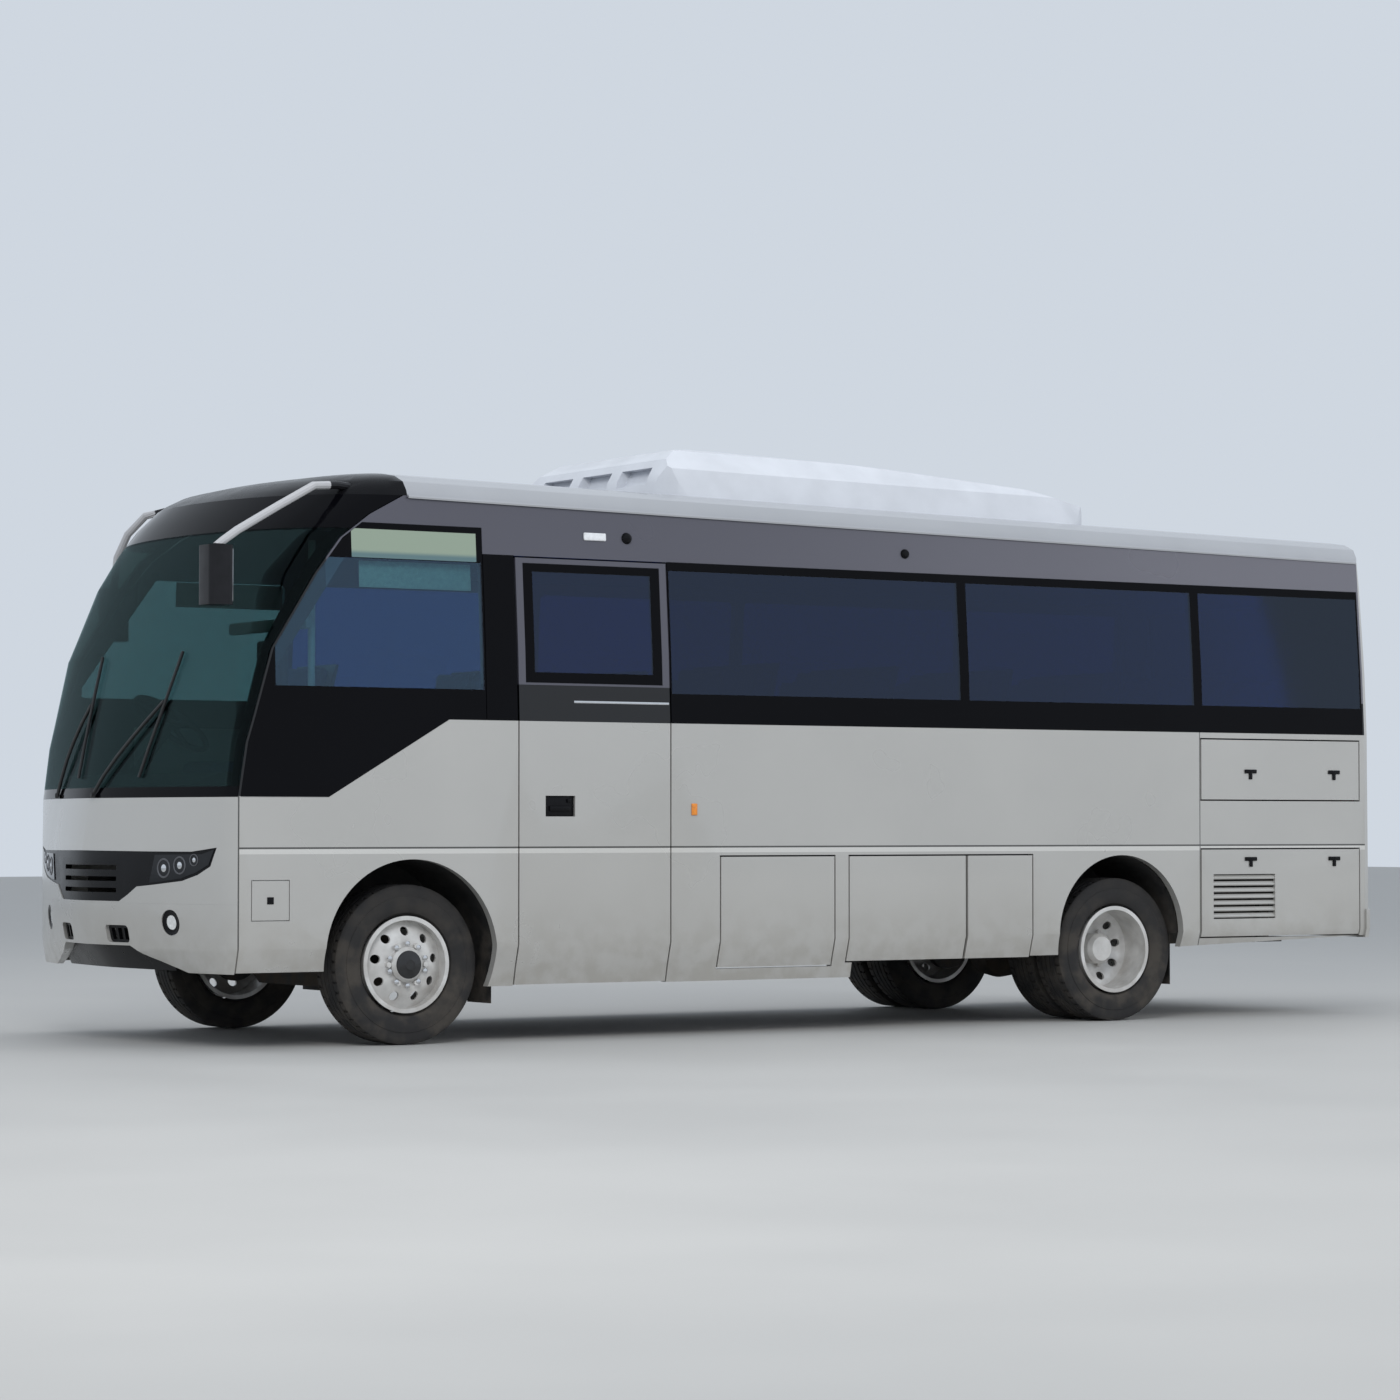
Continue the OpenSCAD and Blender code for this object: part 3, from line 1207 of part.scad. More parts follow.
chassis_frame();
front_axle();
rear_axle();
leaf_springs();
engine_block();
exhaust();
tanks();
floor_deck();
luggage_bays();
wheel_liners();
side_wall_left();
side_wall_right();
roof_shell();
front_cap();
front_frame();
windscreen();
side_glass();
front_panel();
front_grille();
headlamps();
front_bumper();
front_intake();
fog_lamps();
rear_panel();
rear_glass();
tail_lamps();
rear_bumper();
air_conditioner();
mirrors();
wipers();
dashboard();
steering_wheel();
seat_frames();
seat_pads();
luggage_racks();
door_arms();
door_leaf();
door_glass();
luggage_flap_left_front();
luggage_flap_left_middle();
luggage_flap_left_rear();
luggage_flap_right_front();
luggage_flap_right_middle();
luggage_flap_right_rear();
service_flap_left_low();
service_flap_left_high();
service_flap_right_low();
fuel_flap();
engine_lid();
knuckle_left();
knuckle_right();
tie_rod();
front_tyre_left();
front_rim_left();
front_tyre_right();
front_rim_right();
rear_tyres_left();
rear_rims_left();
rear_tyres_right();
rear_rims_right();
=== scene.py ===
import json
import math

import bmesh
import bpy
from mathutils import Matrix, Vector


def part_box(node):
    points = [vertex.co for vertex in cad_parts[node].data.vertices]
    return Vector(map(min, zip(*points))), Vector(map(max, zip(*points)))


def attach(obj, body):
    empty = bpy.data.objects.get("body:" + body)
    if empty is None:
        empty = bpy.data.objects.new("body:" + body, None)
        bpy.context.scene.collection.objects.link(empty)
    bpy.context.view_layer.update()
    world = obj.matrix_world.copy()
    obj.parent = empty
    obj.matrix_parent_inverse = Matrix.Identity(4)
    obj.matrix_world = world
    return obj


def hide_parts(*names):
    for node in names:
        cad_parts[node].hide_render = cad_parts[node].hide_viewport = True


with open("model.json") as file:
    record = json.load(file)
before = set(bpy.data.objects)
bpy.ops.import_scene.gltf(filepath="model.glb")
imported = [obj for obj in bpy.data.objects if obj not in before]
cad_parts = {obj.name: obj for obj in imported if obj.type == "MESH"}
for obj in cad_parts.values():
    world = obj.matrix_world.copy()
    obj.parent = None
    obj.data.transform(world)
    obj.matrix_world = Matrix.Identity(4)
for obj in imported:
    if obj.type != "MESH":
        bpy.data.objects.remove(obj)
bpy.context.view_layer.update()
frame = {"nodes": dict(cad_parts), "record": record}
nodes = frame["nodes"]

# camera as fitted to the photograph: place in metres, angles in degrees, focal length in millimetres
camera = {"x": 11.67, "y": 17.73, "z": 1.059, "turn": 33.0, "tilt": 1.865, "focal": 100.3, "far": 200}

# studio: a pale floor, a pale world and three soft lamps (name, place, aim, size, power)
studio = {"floor": (0.46, 0.455, 0.44), "floorSize": 60, "world": (0.80, 0.87, 0.96), "worldPower": 0.78,
          "lamps": [("keyLamp", (9, 11, 9), (0, 0, 1.2), 6, 850),
                    ("fillLamp", (-9, 10, 6), (0, 0, 1.2), 6, 420),
                    ("topLamp", (0, -2, 11), (0, 0, 0), 8, 350)]}

# body heights and lengths that finishes and pieces share with the CAD, in metres
noseX, tailX, stationX = 3.775, -3.775, 2.565
seamAhead = 0.920        # from the station to the seam between side wall and front
bandBottom, glassBottom, glassTop, screenBottom = 1.582, 1.732, 2.357, 1.201
frontX, rearX, axleZ = 2.525, -1.875, 0.391
frontY, rearY, twin = 0.925, 0.935, 0.254        # tyre centres, and the step between twin tyres
# (height, half width)
sideRows = [(0.232, 1.068), (0.369, 1.098), (0.482, 1.130), (1.582, 1.130), (1.932, 1.115), (2.357, 1.085),
            (2.667, 1.062)]
# (height, how far back the nose is, how far back the seam is)
frontRows = [(0.272, 0.160, 0), (0.362, 0.110, 0), (0.462, 0.040, 0), (0.632, 0, 0), (0.932, 0, 0),
             (1.201, 0.035, 0), (1.459, 0.090, 0.040), (1.909, 0.185, 0.180), (2.272, 0.330, 0.420),
             (2.452, 0.425, 0.565), (2.572, 0.495, 0.730), (2.672, 0.580, 0.920)]
# (height, pull of the corner, flat share)
planRows = [(1.201, 0.15, 0.25), (2.272, 0.55, 0.65)]
# (height, how far in the tail is)
tailRows = [(0.591, 0.0), (1.232, 0.022), (2.032, 0.035), (2.432, 0.062), (2.562, 0.084)]
sides = ((1, "Left"), (-1, "Right"))


def lookUp(z, rows, column=1):        # value of a column at a height, in straight steps
    if z <= rows[0][0]:
        return rows[0][column]
    for a, b in zip(rows, rows[1:]):
        if z <= b[0]:
            return a[column] + (z - a[0]) * (b[column] - a[column]) / (b[0] - a[0])
    return rows[-1][column]


def frontPoint(u, z):        # u runs from 0 at the middle to 1 at the side wall's seam
    width = lookUp(z, sideRows)
    edge = stationX + seamAhead - lookUp(z, frontRows, 2)
    nose = noseX - lookUp(z, frontRows)
    pull, flat = lookUp(z, planRows, 1), lookUp(z, planRows, 2)
    s = 1 - abs(u)
    q = 1 - s
    x = q ** 3 * edge + 3 * q * q * s * (edge + pull * (nose - edge)) + 3 * q * s * s * nose + s ** 3 * nose
    y = q ** 3 * width + 3 * q * q * s * width + 3 * q * s * s * flat * width
    return Vector((x, math.copysign(y, u), z))


def frontPlace(y, z, out=0.0):        # a frame on the front surface: Z points outwards
    low, high = 0.0, 1.0
    for i in range(30):
        mid = (low + high) / 2
        if frontPoint(mid, z).y < abs(y):
            low = mid
        else:
            high = mid
    u = math.copysign(mid, y)
    p = frontPoint(u, z)
    step = 0.01
    normal = (frontPoint(u + step, z) - p).cross(frontPoint(u, z + step) - p).normalized()
    if normal.x < 0:
        normal.negate()
    turn = normal.to_track_quat("Z", "Y").to_matrix().to_4x4()
    return Matrix.Translation(p + normal * out) @ turn


def sidePlace(back, z, out=0.0, side=1):        # a frame on the side wall: Z points outwards
    p = Vector((stationX - back, side * (lookUp(z, sideRows) + out), z))
    step = 0.02
    lean = math.atan2(lookUp(z - step, sideRows) - lookUp(z + step, sideRows), 2 * step)
    return Matrix.Translation(p) @ Matrix.Rotation(-side * (math.pi / 2 - lean), 4, "X")


def tailPlace(y, z, out):        # a frame on the rear panel: Z points backwards
    spot = Matrix.Translation((tailX + lookUp(z, tailRows) - out, y, z))
    return spot @ Matrix.Rotation(-math.pi / 2, 4, "Y")


def shift(x, y, z):
    return Matrix.Translation((x, y, z))


def around(count, start=0.0):        # even angles round a circle
    return [2 * math.pi * (i + start) / count for i in range(count)]


def finishPiece(mesh, name, look, body=None, sharp=35):
    bmesh.ops.recalc_face_normals(mesh, faces=mesh.faces)
    data = bpy.data.meshes.new(name)
    mesh.to_mesh(data)
    mesh.free()
    data.materials.append(look)
    data.shade_smooth()
    data.set_sharp_from_angle(angle=math.radians(sharp))
    piece = bpy.data.objects.new(name, data)
    bpy.context.scene.collection.objects.link(piece)
    if body:
        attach(piece, body)
    return piece


def block(mesh, place, size, radius, steps=2):        # a bevelled block, size along the place's own axes
    made = bmesh.ops.create_cube(mesh, size=1, matrix=place @ Matrix.Diagonal((*size, 1)))
    edges = list({e for v in made["verts"] for e in v.link_edges})
    bmesh.ops.bevel(mesh, geom=edges, offset=radius, offset_type="OFFSET", segments=steps, profile=0.5,
                    affect="EDGES", material=-1, clamp_overlap=True)


def lathe(mesh, place, profile, steps=48):        # profile of (radius, height) turned about the place's Z
    line = [mesh.verts.new(place @ Vector((r, 0, h))) for r, h in profile]
    edges = [mesh.edges.new(pair) for pair in zip(line, line[1:])]
    axis = place.to_3x3() @ Vector((0, 0, 1))
    bmesh.ops.spin(mesh, geom=line + edges, cent=place.translation, axis=axis, dvec=(0, 0, 0),
                   angle=2 * math.pi, steps=steps, use_merge=True)
    bmesh.ops.remove_doubles(mesh, verts=mesh.verts, dist=0.00002)


def rod(mesh, start, end, radius, steps=16):        # a round bar with eased rims
    start, end = Vector(start), Vector(end)
    way = end - start
    place = Matrix.Translation((start + end) / 2) @ way.to_track_quat("Z", "Y").to_matrix().to_4x4()
    made = bmesh.ops.create_cone(mesh, segments=steps, radius1=radius, radius2=radius, depth=way.length,
                                 cap_ends=True, matrix=place)
    rims = [e for v in made["verts"] for e in v.link_edges if len(e.link_faces) == 2
            and any(len(f.verts) > 4 for f in e.link_faces)]
    bmesh.ops.bevel(mesh, geom=list(set(rims)), offset=radius * 0.2, offset_type="OFFSET", segments=2,
                    profile=0.5, affect="EDGES", material=-1, clamp_overlap=True)


# node helpers for the finishes
def calc(tree, kind, a, b):
    n = tree.nodes.new("ShaderNodeMath")
    n.operation = kind
    for socket, value in zip(n.inputs, (a, b)):
        if isinstance(value, (int, float)):
            socket.default_value = value
        else:
            tree.links.new(value, socket)
    return n.outputs[0]


def above(tree, value, low):
    return calc(tree, "GREATER_THAN", value, low)


def within(tree, value, low, high):
    return calc(tree, "MULTIPLY", above(tree, value, low), calc(tree, "LESS_THAN", value, high))


def anyOf(tree, masks):
    total = masks[0]
    for m in masks[1:]:
        total = calc(tree, "MAXIMUM", total, m)
    return total


def both(tree, a, b):
    return calc(tree, "MULTIPLY", a, b)


def mixColor(tree, share, a, b):
    n = tree.nodes.new("ShaderNodeMix")
    n.data_type = "RGBA"
    for socket, value in ((n.inputs[0], share), (n.inputs[6], a), (n.inputs[7], b)):
        if isinstance(value, tuple):
            socket.default_value = (*value, 1)
        else:
            tree.links.new(value, socket)
    return n.outputs[2]


def noise(tree, coord, scale, detail=3.0):
    n = tree.nodes.new("ShaderNodeTexNoise")
    n.inputs["Scale"].default_value = scale
    n.inputs["Detail"].default_value = detail
    tree.links.new(coord, n.inputs["Vector"])
    return n.outputs["Fac"]


def spread(tree, value, a, b, low=0.0, high=1.0):        # a soft step from low at a to high at b
    n = tree.nodes.new("ShaderNodeMapRange")
    n.interpolation_type = "SMOOTHSTEP"
    tree.links.new(value, n.inputs["Value"])
    for name, v in (("From Min", a), ("From Max", b), ("To Min", low), ("To Max", high)):
        n.inputs[name].default_value = v
    return n.outputs[0]


def scaled(color, k):
    return tuple(min(c * k, 1) for c in color)


# road dust: where it starts to fade, its patches, and how much rougher it makes a surface
dustFall = {"low": 0.25, "scale": 9.0, "detail": 6.0, "patch": (0.35, 0.65), "rougher": 0.3}


# mottle is (scale, share), grain is (scale, depth), dust is (color, top height, share)
def surface(name, color, rough, metal=0.0, coat=0.0, mottle=(6.0, 0.06), grain=(300.0, 0.0002), dust=None,
            zones=None, specular=0.5, stretch=(1, 1, 1)):
    m = bpy.data.materials.new(name)
    m.use_nodes = True
    tree = m.node_tree
    s = tree.nodes["Principled BSDF"]
    for socket, value in (("Metallic", metal), ("Coat Weight", coat), ("Coat Roughness", 0.06),
                          ("Specular IOR Level", specular)):
        s.inputs[socket].default_value = value
    where = tree.nodes.new("ShaderNodeTexCoord").outputs["Object"]
    mapped = tree.nodes.new("ShaderNodeMapping")
    mapped.inputs["Scale"].default_value = stretch
    tree.links.new(where, mapped.inputs["Vector"])
    split = tree.nodes.new("ShaderNodeSeparateXYZ")
    tree.links.new(where, split.inputs[0])
    cloud = noise(tree, mapped.outputs[0], mottle[0])
    dark, light = scaled(color, 1 - mottle[1]), scaled(color, 1 + mottle[1])
    shade = mixColor(tree, spread(tree, cloud, 0.2, 0.8), dark, light)
    roughness = spread(tree, cloud, 0.2, 0.8, rough * 0.85, min(rough * 1.2, 1))
    if zones:
        shade = zones(tree, split, shade)
    if dust:
        fall = spread(tree, split.outputs[2], dustFall["low"], dust[1], dust[2], 0.0)
        patches = noise(tree, where, dustFall["scale"], dustFall["detail"])
        share = both(tree, fall, spread(tree, patches, *dustFall["patch"]))
        shade = mixColor(tree, share, shade, dust[0])
        roughness = calc(tree, "ADD", roughness, both(tree, share, dustFall["rougher"]))
    tree.links.new(shade, s.inputs["Base Color"])
    tree.links.new(roughness, s.inputs["Roughness"])
    bump = tree.nodes.new("ShaderNodeBump")
    bump.inputs["Strength"].default_value = 0.6
    bump.inputs["Distance"].default_value = grain[1]
    tree.links.new(noise(tree, mapped.outputs[0], grain[0]), bump.inputs["Height"])
    tree.links.new(bump.outputs[0], s.inputs["Normal"])
    return m


# clear parts of the panes, in metres: x from and to at each side, then the door's and the rear window's
windows = {"left": [(2.145, 3.285), (-0.765, 1.053), (-2.375, -0.825), (-3.605, -2.435)],
           "right": [(2.145, 3.285), (0.605, 2.080), (-0.765, 0.545), (-2.375, -0.825), (-3.605, -2.435)],
           "screen": (screenBottom + 0.05, 2.50), "door": (1.165, 1.855, 1.825, 2.325),
           "rear": (-0.80, 0.80, 1.730, 2.300)}


def sideClear(tree, split):
    x, y, z = split.outputs[0], split.outputs[1], split.outputs[2]
    left = both(tree, anyOf(tree, [within(tree, x, a, b) for a, b in windows["left"]]), above(tree, y, 0.0))
    right = both(tree, anyOf(tree, [within(tree, x, a, b) for a, b in windows["right"]]),
                 calc(tree, "LESS_THAN", y, 0.0))
    return both(tree, calc(tree, "MAXIMUM", left, right), within(tree, z, glassBottom, glassTop))


def screenClear(tree, split):
    return within(tree, split.outputs[2], *windows["screen"])


def doorClear(tree, split):
    a, b, low, high = windows["door"]
    return both(tree, within(tree, split.outputs[0], a, b), within(tree, split.outputs[2], low, high))


def rearClear(tree, split):
    a, b, low, high = windows["rear"]
    return both(tree, within(tree, split.outputs[1], a, b), within(tree, split.outputs[2], low, high))


# glass: tints of what shows through, the colour of its reflections, and where the clearer cab starts
glass = {"screen": (0.36, 0.44, 0.43), "saloon": (0.10, 0.17, 0.36), "cab": (0.60, 0.78, 0.82),
         "door": (0.18, 0.26, 0.48), "border": (0.002, 0.002, 0.003), "shine": (0.62, 0.76, 1.0),
         "screenShine": (0.5, 0.62, 0.64), "cabFrom": 2.10, "ior": 1.5, "blur": 0.02}


# a pane is clear inside the window openings and has a black printed border outside them
def pane(name, tint, mirror, clear, cabTint=None, border=None, shineColor=glass["shine"]):
    m = surface(name, glass["border"], 0.07, mottle=(2.0, 0.1), grain=(60.0, 0.00005), specular=0.10,
                zones=border)
    tree = m.node_tree
    s = tree.nodes["Principled BSDF"]
    split = tree.nodes["Separate XYZ"]
    through = tree.nodes.new("ShaderNodeBsdfTransparent")
    through.inputs[0].default_value = (*tint, 1)
    if cabTint:
        front = above(tree, split.outputs[0], glass["cabFrom"])
        tree.links.new(mixColor(tree, front, tint, cabTint), through.inputs[0])
    shine = tree.nodes.new("ShaderNodeBsdfGlossy")
    shine.inputs["Roughness"].default_value = glass["blur"]
    shine.inputs["Color"].default_value = (*shineColor, 1)
    angle = tree.nodes.new("ShaderNodeFresnel")
    angle.inputs["IOR"].default_value = glass["ior"]
    strength = calc(tree, "ADD", both(tree, angle.outputs[0], mirror[0]), mirror[1])
    clearPart = tree.nodes.new("ShaderNodeMixShader")
    whole = tree.nodes.new("ShaderNodeMixShader")
    tree.links.new(strength, clearPart.inputs[0])
    tree.links.new(through.outputs[0], clearPart.inputs[1])
    tree.links.new(shine.outputs[0], clearPart.inputs[2])
    tree.links.new(clear(tree, split), whole.inputs[0])
    tree.links.new(s.outputs[0], whole.inputs[1])
    tree.links.new(clearPart.outputs[0], whole.inputs[2])
    tree.links.new(whole.outputs[0], tree.nodes["Material Output"].inputs["Surface"])
    return m


# painted body: silver below the window band, dark above it on the sides, lighter towards the rear; a painted
# highlight (lit) under the crease and painted shade (seam) in the crease groove and at the seams
paint = {"silver": (0.50, 0.49, 0.465), "dark": (0.092, 0.090, 0.112), "darkRear": (0.165, 0.160, 0.185),
         "fade": (1.5, -3.7), "black": (0.002, 0.002, 0.003), "cornerX": 3.0, "bandOver": 0.03,
         "crease": (0.930, 0.954, 0.963), "lit": 1.35, "seam": 0.2, "flake": (420.0, 0.00006), "rough": 0.30,
         "mottle": (1.5, 0.03), "dust": ((0.30, 0.27, 0.22), 0.75, 0.35)}
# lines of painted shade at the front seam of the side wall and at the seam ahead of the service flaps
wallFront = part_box("side_wall_left")[1][0]
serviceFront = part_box("service_flap_left_high")[1][0] + 0.012
seams = [(wallFront - 0.008, wallFront + 0.01), (serviceFront - 0.003, serviceFront + 0.003)]


def wallZones(tree, split, shade):        # painted highlight under the crease, painted shade in the crease groove and at the seams, black band and front corner, dark upper side
    x, z = split.outputs[0], split.outputs[2]
    low, mid, top = paint["crease"]
    shadow = scaled(paint["silver"], paint["seam"])
    # a painted highlight just under the crease, then a line of painted shade in its groove
    shade = mixColor(tree, within(tree, z, low, mid), shade, scaled(paint["silver"], paint["lit"]))
    shade = mixColor(tree, within(tree, z, mid, top), shade, shadow)
    # painted shade lines in the seams
    shade = mixColor(tree, anyOf(tree, [within(tree, x, a, b) for a, b in seams]), shade, shadow)
    upper = mixColor(tree, spread(tree, x, *paint["fade"]), paint["dark"], paint["darkRear"])
    shade = mixColor(tree, above(tree, z, bandBottom + 0.001), shade, upper)
    corner = both(tree, above(tree, x, paint["cornerX"]), above(tree, z, screenBottom + 0.004))
    black = calc(tree, "MAXIMUM", corner, within(tree, z, bandBottom, glassBottom + paint["bandOver"]))
    return mixColor(tree, black, shade, paint["black"])


# blind behind the top of the driver's window
blind = {"x": (2.17, 2.86), "z": (2.36, 2.50), "edge": (2.40, 2.375), "pale": (0.28, 0.34, 0.27),
         "shaded": (0.12, 0.19, 0.20)}


def blindZone(tree, split, shade):
    x, z = split.outputs[0], split.outputs[2]
    cloth = mixColor(tree, spread(tree, z, *blind["edge"]), blind["pale"], blind["shaded"])
    behind = both(tree, within(tree, x, *blind["x"]), within(tree, z, *blind["z"]))
    return mixColor(tree, behind, shade, cloth)


# mirror arms: silver, with a dark foot and black heads
arm = {"x": 2.93, "z": 2.385, "silver": (0.45, 0.45, 0.46)}


def armZone(tree, split, shade):
    onArm = both(tree, above(tree, split.outputs[2], arm["z"]), above(tree, split.outputs[0], arm["x"]))
    return mixColor(tree, onArm, shade, arm["silver"])


# finishes: name, color, roughness, metal, coat, mottle, grain, dust
looks = {
    "body_paint": surface("bodyPaint", paint["silver"], paint["rough"], 0.35, 0.6, paint["mottle"],
                          paint["flake"], paint["dust"]),
    "side_paint": surface("sidePaint", paint["silver"], paint["rough"], 0.35, 0.6, paint["mottle"],
                          paint["flake"], paint["dust"], wallZones),
    "dark_paint": surface("roofPaint", (0.42, 0.43, 0.45), 0.32, 0.3, 0.5, (2.0, 0.05), paint["flake"]),
    "black_trim": surface("blackTrim", (0.004, 0.004, 0.005), 0.25, 0.0, 0.0, (8.0, 0.25), (240.0, 0.0001),
                          specular=0.18),
    "frame_paint": surface("framePaint", (0.035, 0.035, 0.038), 0.45, 0.1, 0.1, (12.0, 0.3), (180.0, 0.0004),
                           ((0.16, 0.13, 0.10), 1.2, 0.6)),
    "cast_parts": surface("castParts", (0.055, 0.053, 0.05), 0.65, 0.4, 0.0, (30.0, 0.35), (140.0, 0.0012),
                          ((0.14, 0.11, 0.08), 1.2, 0.6)),
    "spring_steel": surface("springSteel", (0.05, 0.05, 0.052), 0.5, 0.6, 0.0, (20.0, 0.3), (220.0, 0.0005)),
    "pipe_steel": surface("pipeSteel", (0.30, 0.27, 0.24), 0.42, 0.9, 0.0, (14.0, 0.35), (160.0, 0.0005)),
    "tank_paint": surface("tankPaint", (0.16, 0.16, 0.165), 0.4, 0.3, 0.2, (10.0, 0.15), (200.0, 0.0003)),
    "floor_vinyl": surface("floorVinyl", (0.12, 0.12, 0.125), 0.6, 0.0, 0.0, (60.0, 0.3), (350.0, 0.0006)),
    "bay_lining": surface("bayLining", (0.08, 0.08, 0.085), 0.85, 0.0, 0.0, (90.0, 0.4), (500.0, 0.0015)),
    "liner_plastic": surface("linerPlastic", (0.018, 0.018, 0.018), 0.8, 0.0, 0.0, (30.0, 0.4),
                             (160.0, 0.0015), ((0.13, 0.11, 0.09), 1.0, 0.5)),
    "front_glass": pane("frontGlass", glass["screen"], (0.30, 0.0), screenClear,
                        shineColor=glass["screenShine"]),
    "side_tint": pane("sideTint", glass["saloon"], (1.0, 0.02), sideClear, glass["cab"], blindZone),
    "door_tint": pane("doorTint", glass["door"], (1.0, 0.02), doorClear),
    "rear_tint": pane("rearTint", glass["saloon"], (1.0, 0.02), rearClear),
    "head_lens": surface("headLens", (0.007, 0.008, 0.010), 0.05, 0.0, 0.3, (10.0, 0.3), (80.0, 0.00005),
                         specular=0.2),
    "fog_lens": surface("fogLens", (0.82, 0.83, 0.82), 0.12, 0.3, 0.8, (60.0, 0.2), (260.0, 0.0012),
                        stretch=(1, 4, 1)),
    "lamp_red": surface("lampRed", (0.42, 0.015, 0.012), 0.10, 0.0, 0.8, (30.0, 0.2), (260.0, 0.0008)),
    "unit_white": surface("unitWhite", (0.60, 0.62, 0.66), 0.38, 0.0, 0.25, (5.0, 0.06), (120.0, 0.0006)),
    "mirror_black": surface("mirrorBlack", (0.010, 0.010, 0.012), 0.35, 0.0, 0.0, (20.0, 0.2),
                            (260.0, 0.0003), zones=armZone, specular=0.25),
    "wiper_black": surface("wiperBlack", (0.014, 0.014, 0.015), 0.5, 0.0, 0.1, (30.0, 0.2), (300.0, 0.0003)),
    "dash_plastic": surface("dashPlastic", (0.05, 0.05, 0.055), 0.6, 0.0, 0.0, (30.0, 0.2), (420.0, 0.0008)),
    "seat_metal": surface("seatMetal", (0.10, 0.10, 0.11), 0.5, 0.2, 0.1, (20.0, 0.2), (260.0, 0.0003)),
    "seat_cloth": surface("seatCloth", (0.055, 0.075, 0.16), 0.95, 0.0, 0.0, (70.0, 0.35), (900.0, 0.0012)),
    "rack_plastic": surface("rackPlastic", (0.30, 0.31, 0.33), 0.55, 0.0, 0.0, (20.0, 0.1), (300.0, 0.0004)),
    "tyre_rubber": surface("tyreRubber", (0.022, 0.021, 0.021), 0.78, 0.0, 0.0, (26.0, 0.3), (190.0, 0.0008),
                           ((0.075, 0.066, 0.056), 0.95, 0.75)),
    "wheel_silver": surface("wheelSilver", (0.68, 0.67, 0.65), 0.36, 0.35, 0.25, (14.0, 0.12),
                            (220.0, 0.0004), ((0.26, 0.22, 0.18), 0.75, 0.35)),
    "chrome": surface("chrome", (0.75, 0.76, 0.78), 0.12, 1.0, 0.2, (20.0, 0.05), (300.0, 0.00005)),
    "hub_black": surface("hubBlack", (0.014, 0.014, 0.015), 0.35, 0.1, 0.4, (30.0, 0.3), (240.0, 0.0003)),
    "amber": surface("amberLens", (0.75, 0.24, 0.02), 0.15, 0.0, 0.8, (60.0, 0.2), (300.0, 0.0006)),
    "clear_lamp": surface("clearLamp", (0.75, 0.76, 0.78), 0.15, 0.0, 0.8, (60.0, 0.1), (300.0, 0.0006)),
    "blind_cloth": surface("blindCloth", (0.62, 0.63, 0.52), 0.9, 0.0, 0.0, (60.0, 0.1), (900.0, 0.0006)),
    "lamp_ring": surface("lampRing", (0.13, 0.13, 0.14), 0.3, 0.7, 0.2, (20.0, 0.1), (300.0, 0.0001)),
    "plate_blank": surface("plateBlank", (0.60, 0.60, 0.57), 0.35, 0.0, 0.3, (12.0, 0.06), (160.0, 0.0003)),
    "pale_trim": surface("paleTrim", (0.42, 0.44, 0.45), 0.5, 0.0, 0.1, (20.0, 0.1), (300.0, 0.0003)),
}
# nodes whose finish isn't the one that their material slot names
special = {"side_wall_left": "side_paint", "side_wall_right": "side_paint", "door_leaf": "side_paint",
           "door_glass": "door_tint", "rear_glass": "rear_tint", "headlamps": "head_lens",
           "fog_lamps": "fog_lens"}
for sub in frame["record"]["subparts"]:
    o = nodes[sub["node"]]
    o.data.materials.clear()
    o.data.materials.append(looks[special.get(sub["node"], sub["material_slot"])])


def smoothShading(angle):        # shades curved CAD faces smoothly, with their shape as it is
    group = bpy.data.node_groups.new("smoothShading", "GeometryNodeTree")
    link = group.links.new
    group.interface.new_socket("Geometry", in_out="INPUT", socket_type="NodeSocketGeometry")
    group.interface.new_socket("Geometry", in_out="OUTPUT", socket_type="NodeSocketGeometry")
    start, end = group.nodes.new("NodeGroupInput"), group.nodes.new("NodeGroupOutput")
    merge = group.nodes.new("GeometryNodeMergeByDistance")
    merge.inputs["Distance"].default_value = 0.00001
    faces = group.nodes.new("GeometryNodeSetShadeSmooth")
    edges = group.nodes.new("GeometryNodeSetShadeSmooth")
    edges.domain = "EDGE"
    bend = group.nodes.new("GeometryNodeInputMeshEdgeAngle")
    test = group.nodes.new("FunctionNodeCompare")
    test.operation = "GREATER_THAN"
    test.inputs[1].default_value = math.radians(angle)
    link(bend.outputs[0], test.inputs[0])
    link(start.outputs[0], merge.inputs[0])
    link(merge.outputs[0], faces.inputs[0])
    faces.inputs[2].default_value = True
    link(faces.outputs[0], edges.inputs[0])
    link(test.outputs[0], edges.inputs[1])
    edges.inputs[2].default_value = False
    link(edges.outputs[0], end.inputs[0])
    return group


shading = smoothShading(28)
for o in nodes.values():
    o.modifiers.new("shading", "NODES").node_group = shading
print("finishes on the CAD nodes")


# tyres: ribbed tread with cross cuts on the shoulder ribs
tyre = {"radius": 0.3895, "half": 0.113, "bead": 0.238, "tread": 0.094, "crown": 0.0012,
        "crownSpan": 0.19, "ribs": 5, "groove": 0.008, "depth": 0.009, "cuts": 192, "every": 4,
        "shoulder": (0.058, 0.097), "cutEdge": 0.0015, "cutDepth": 0.007}


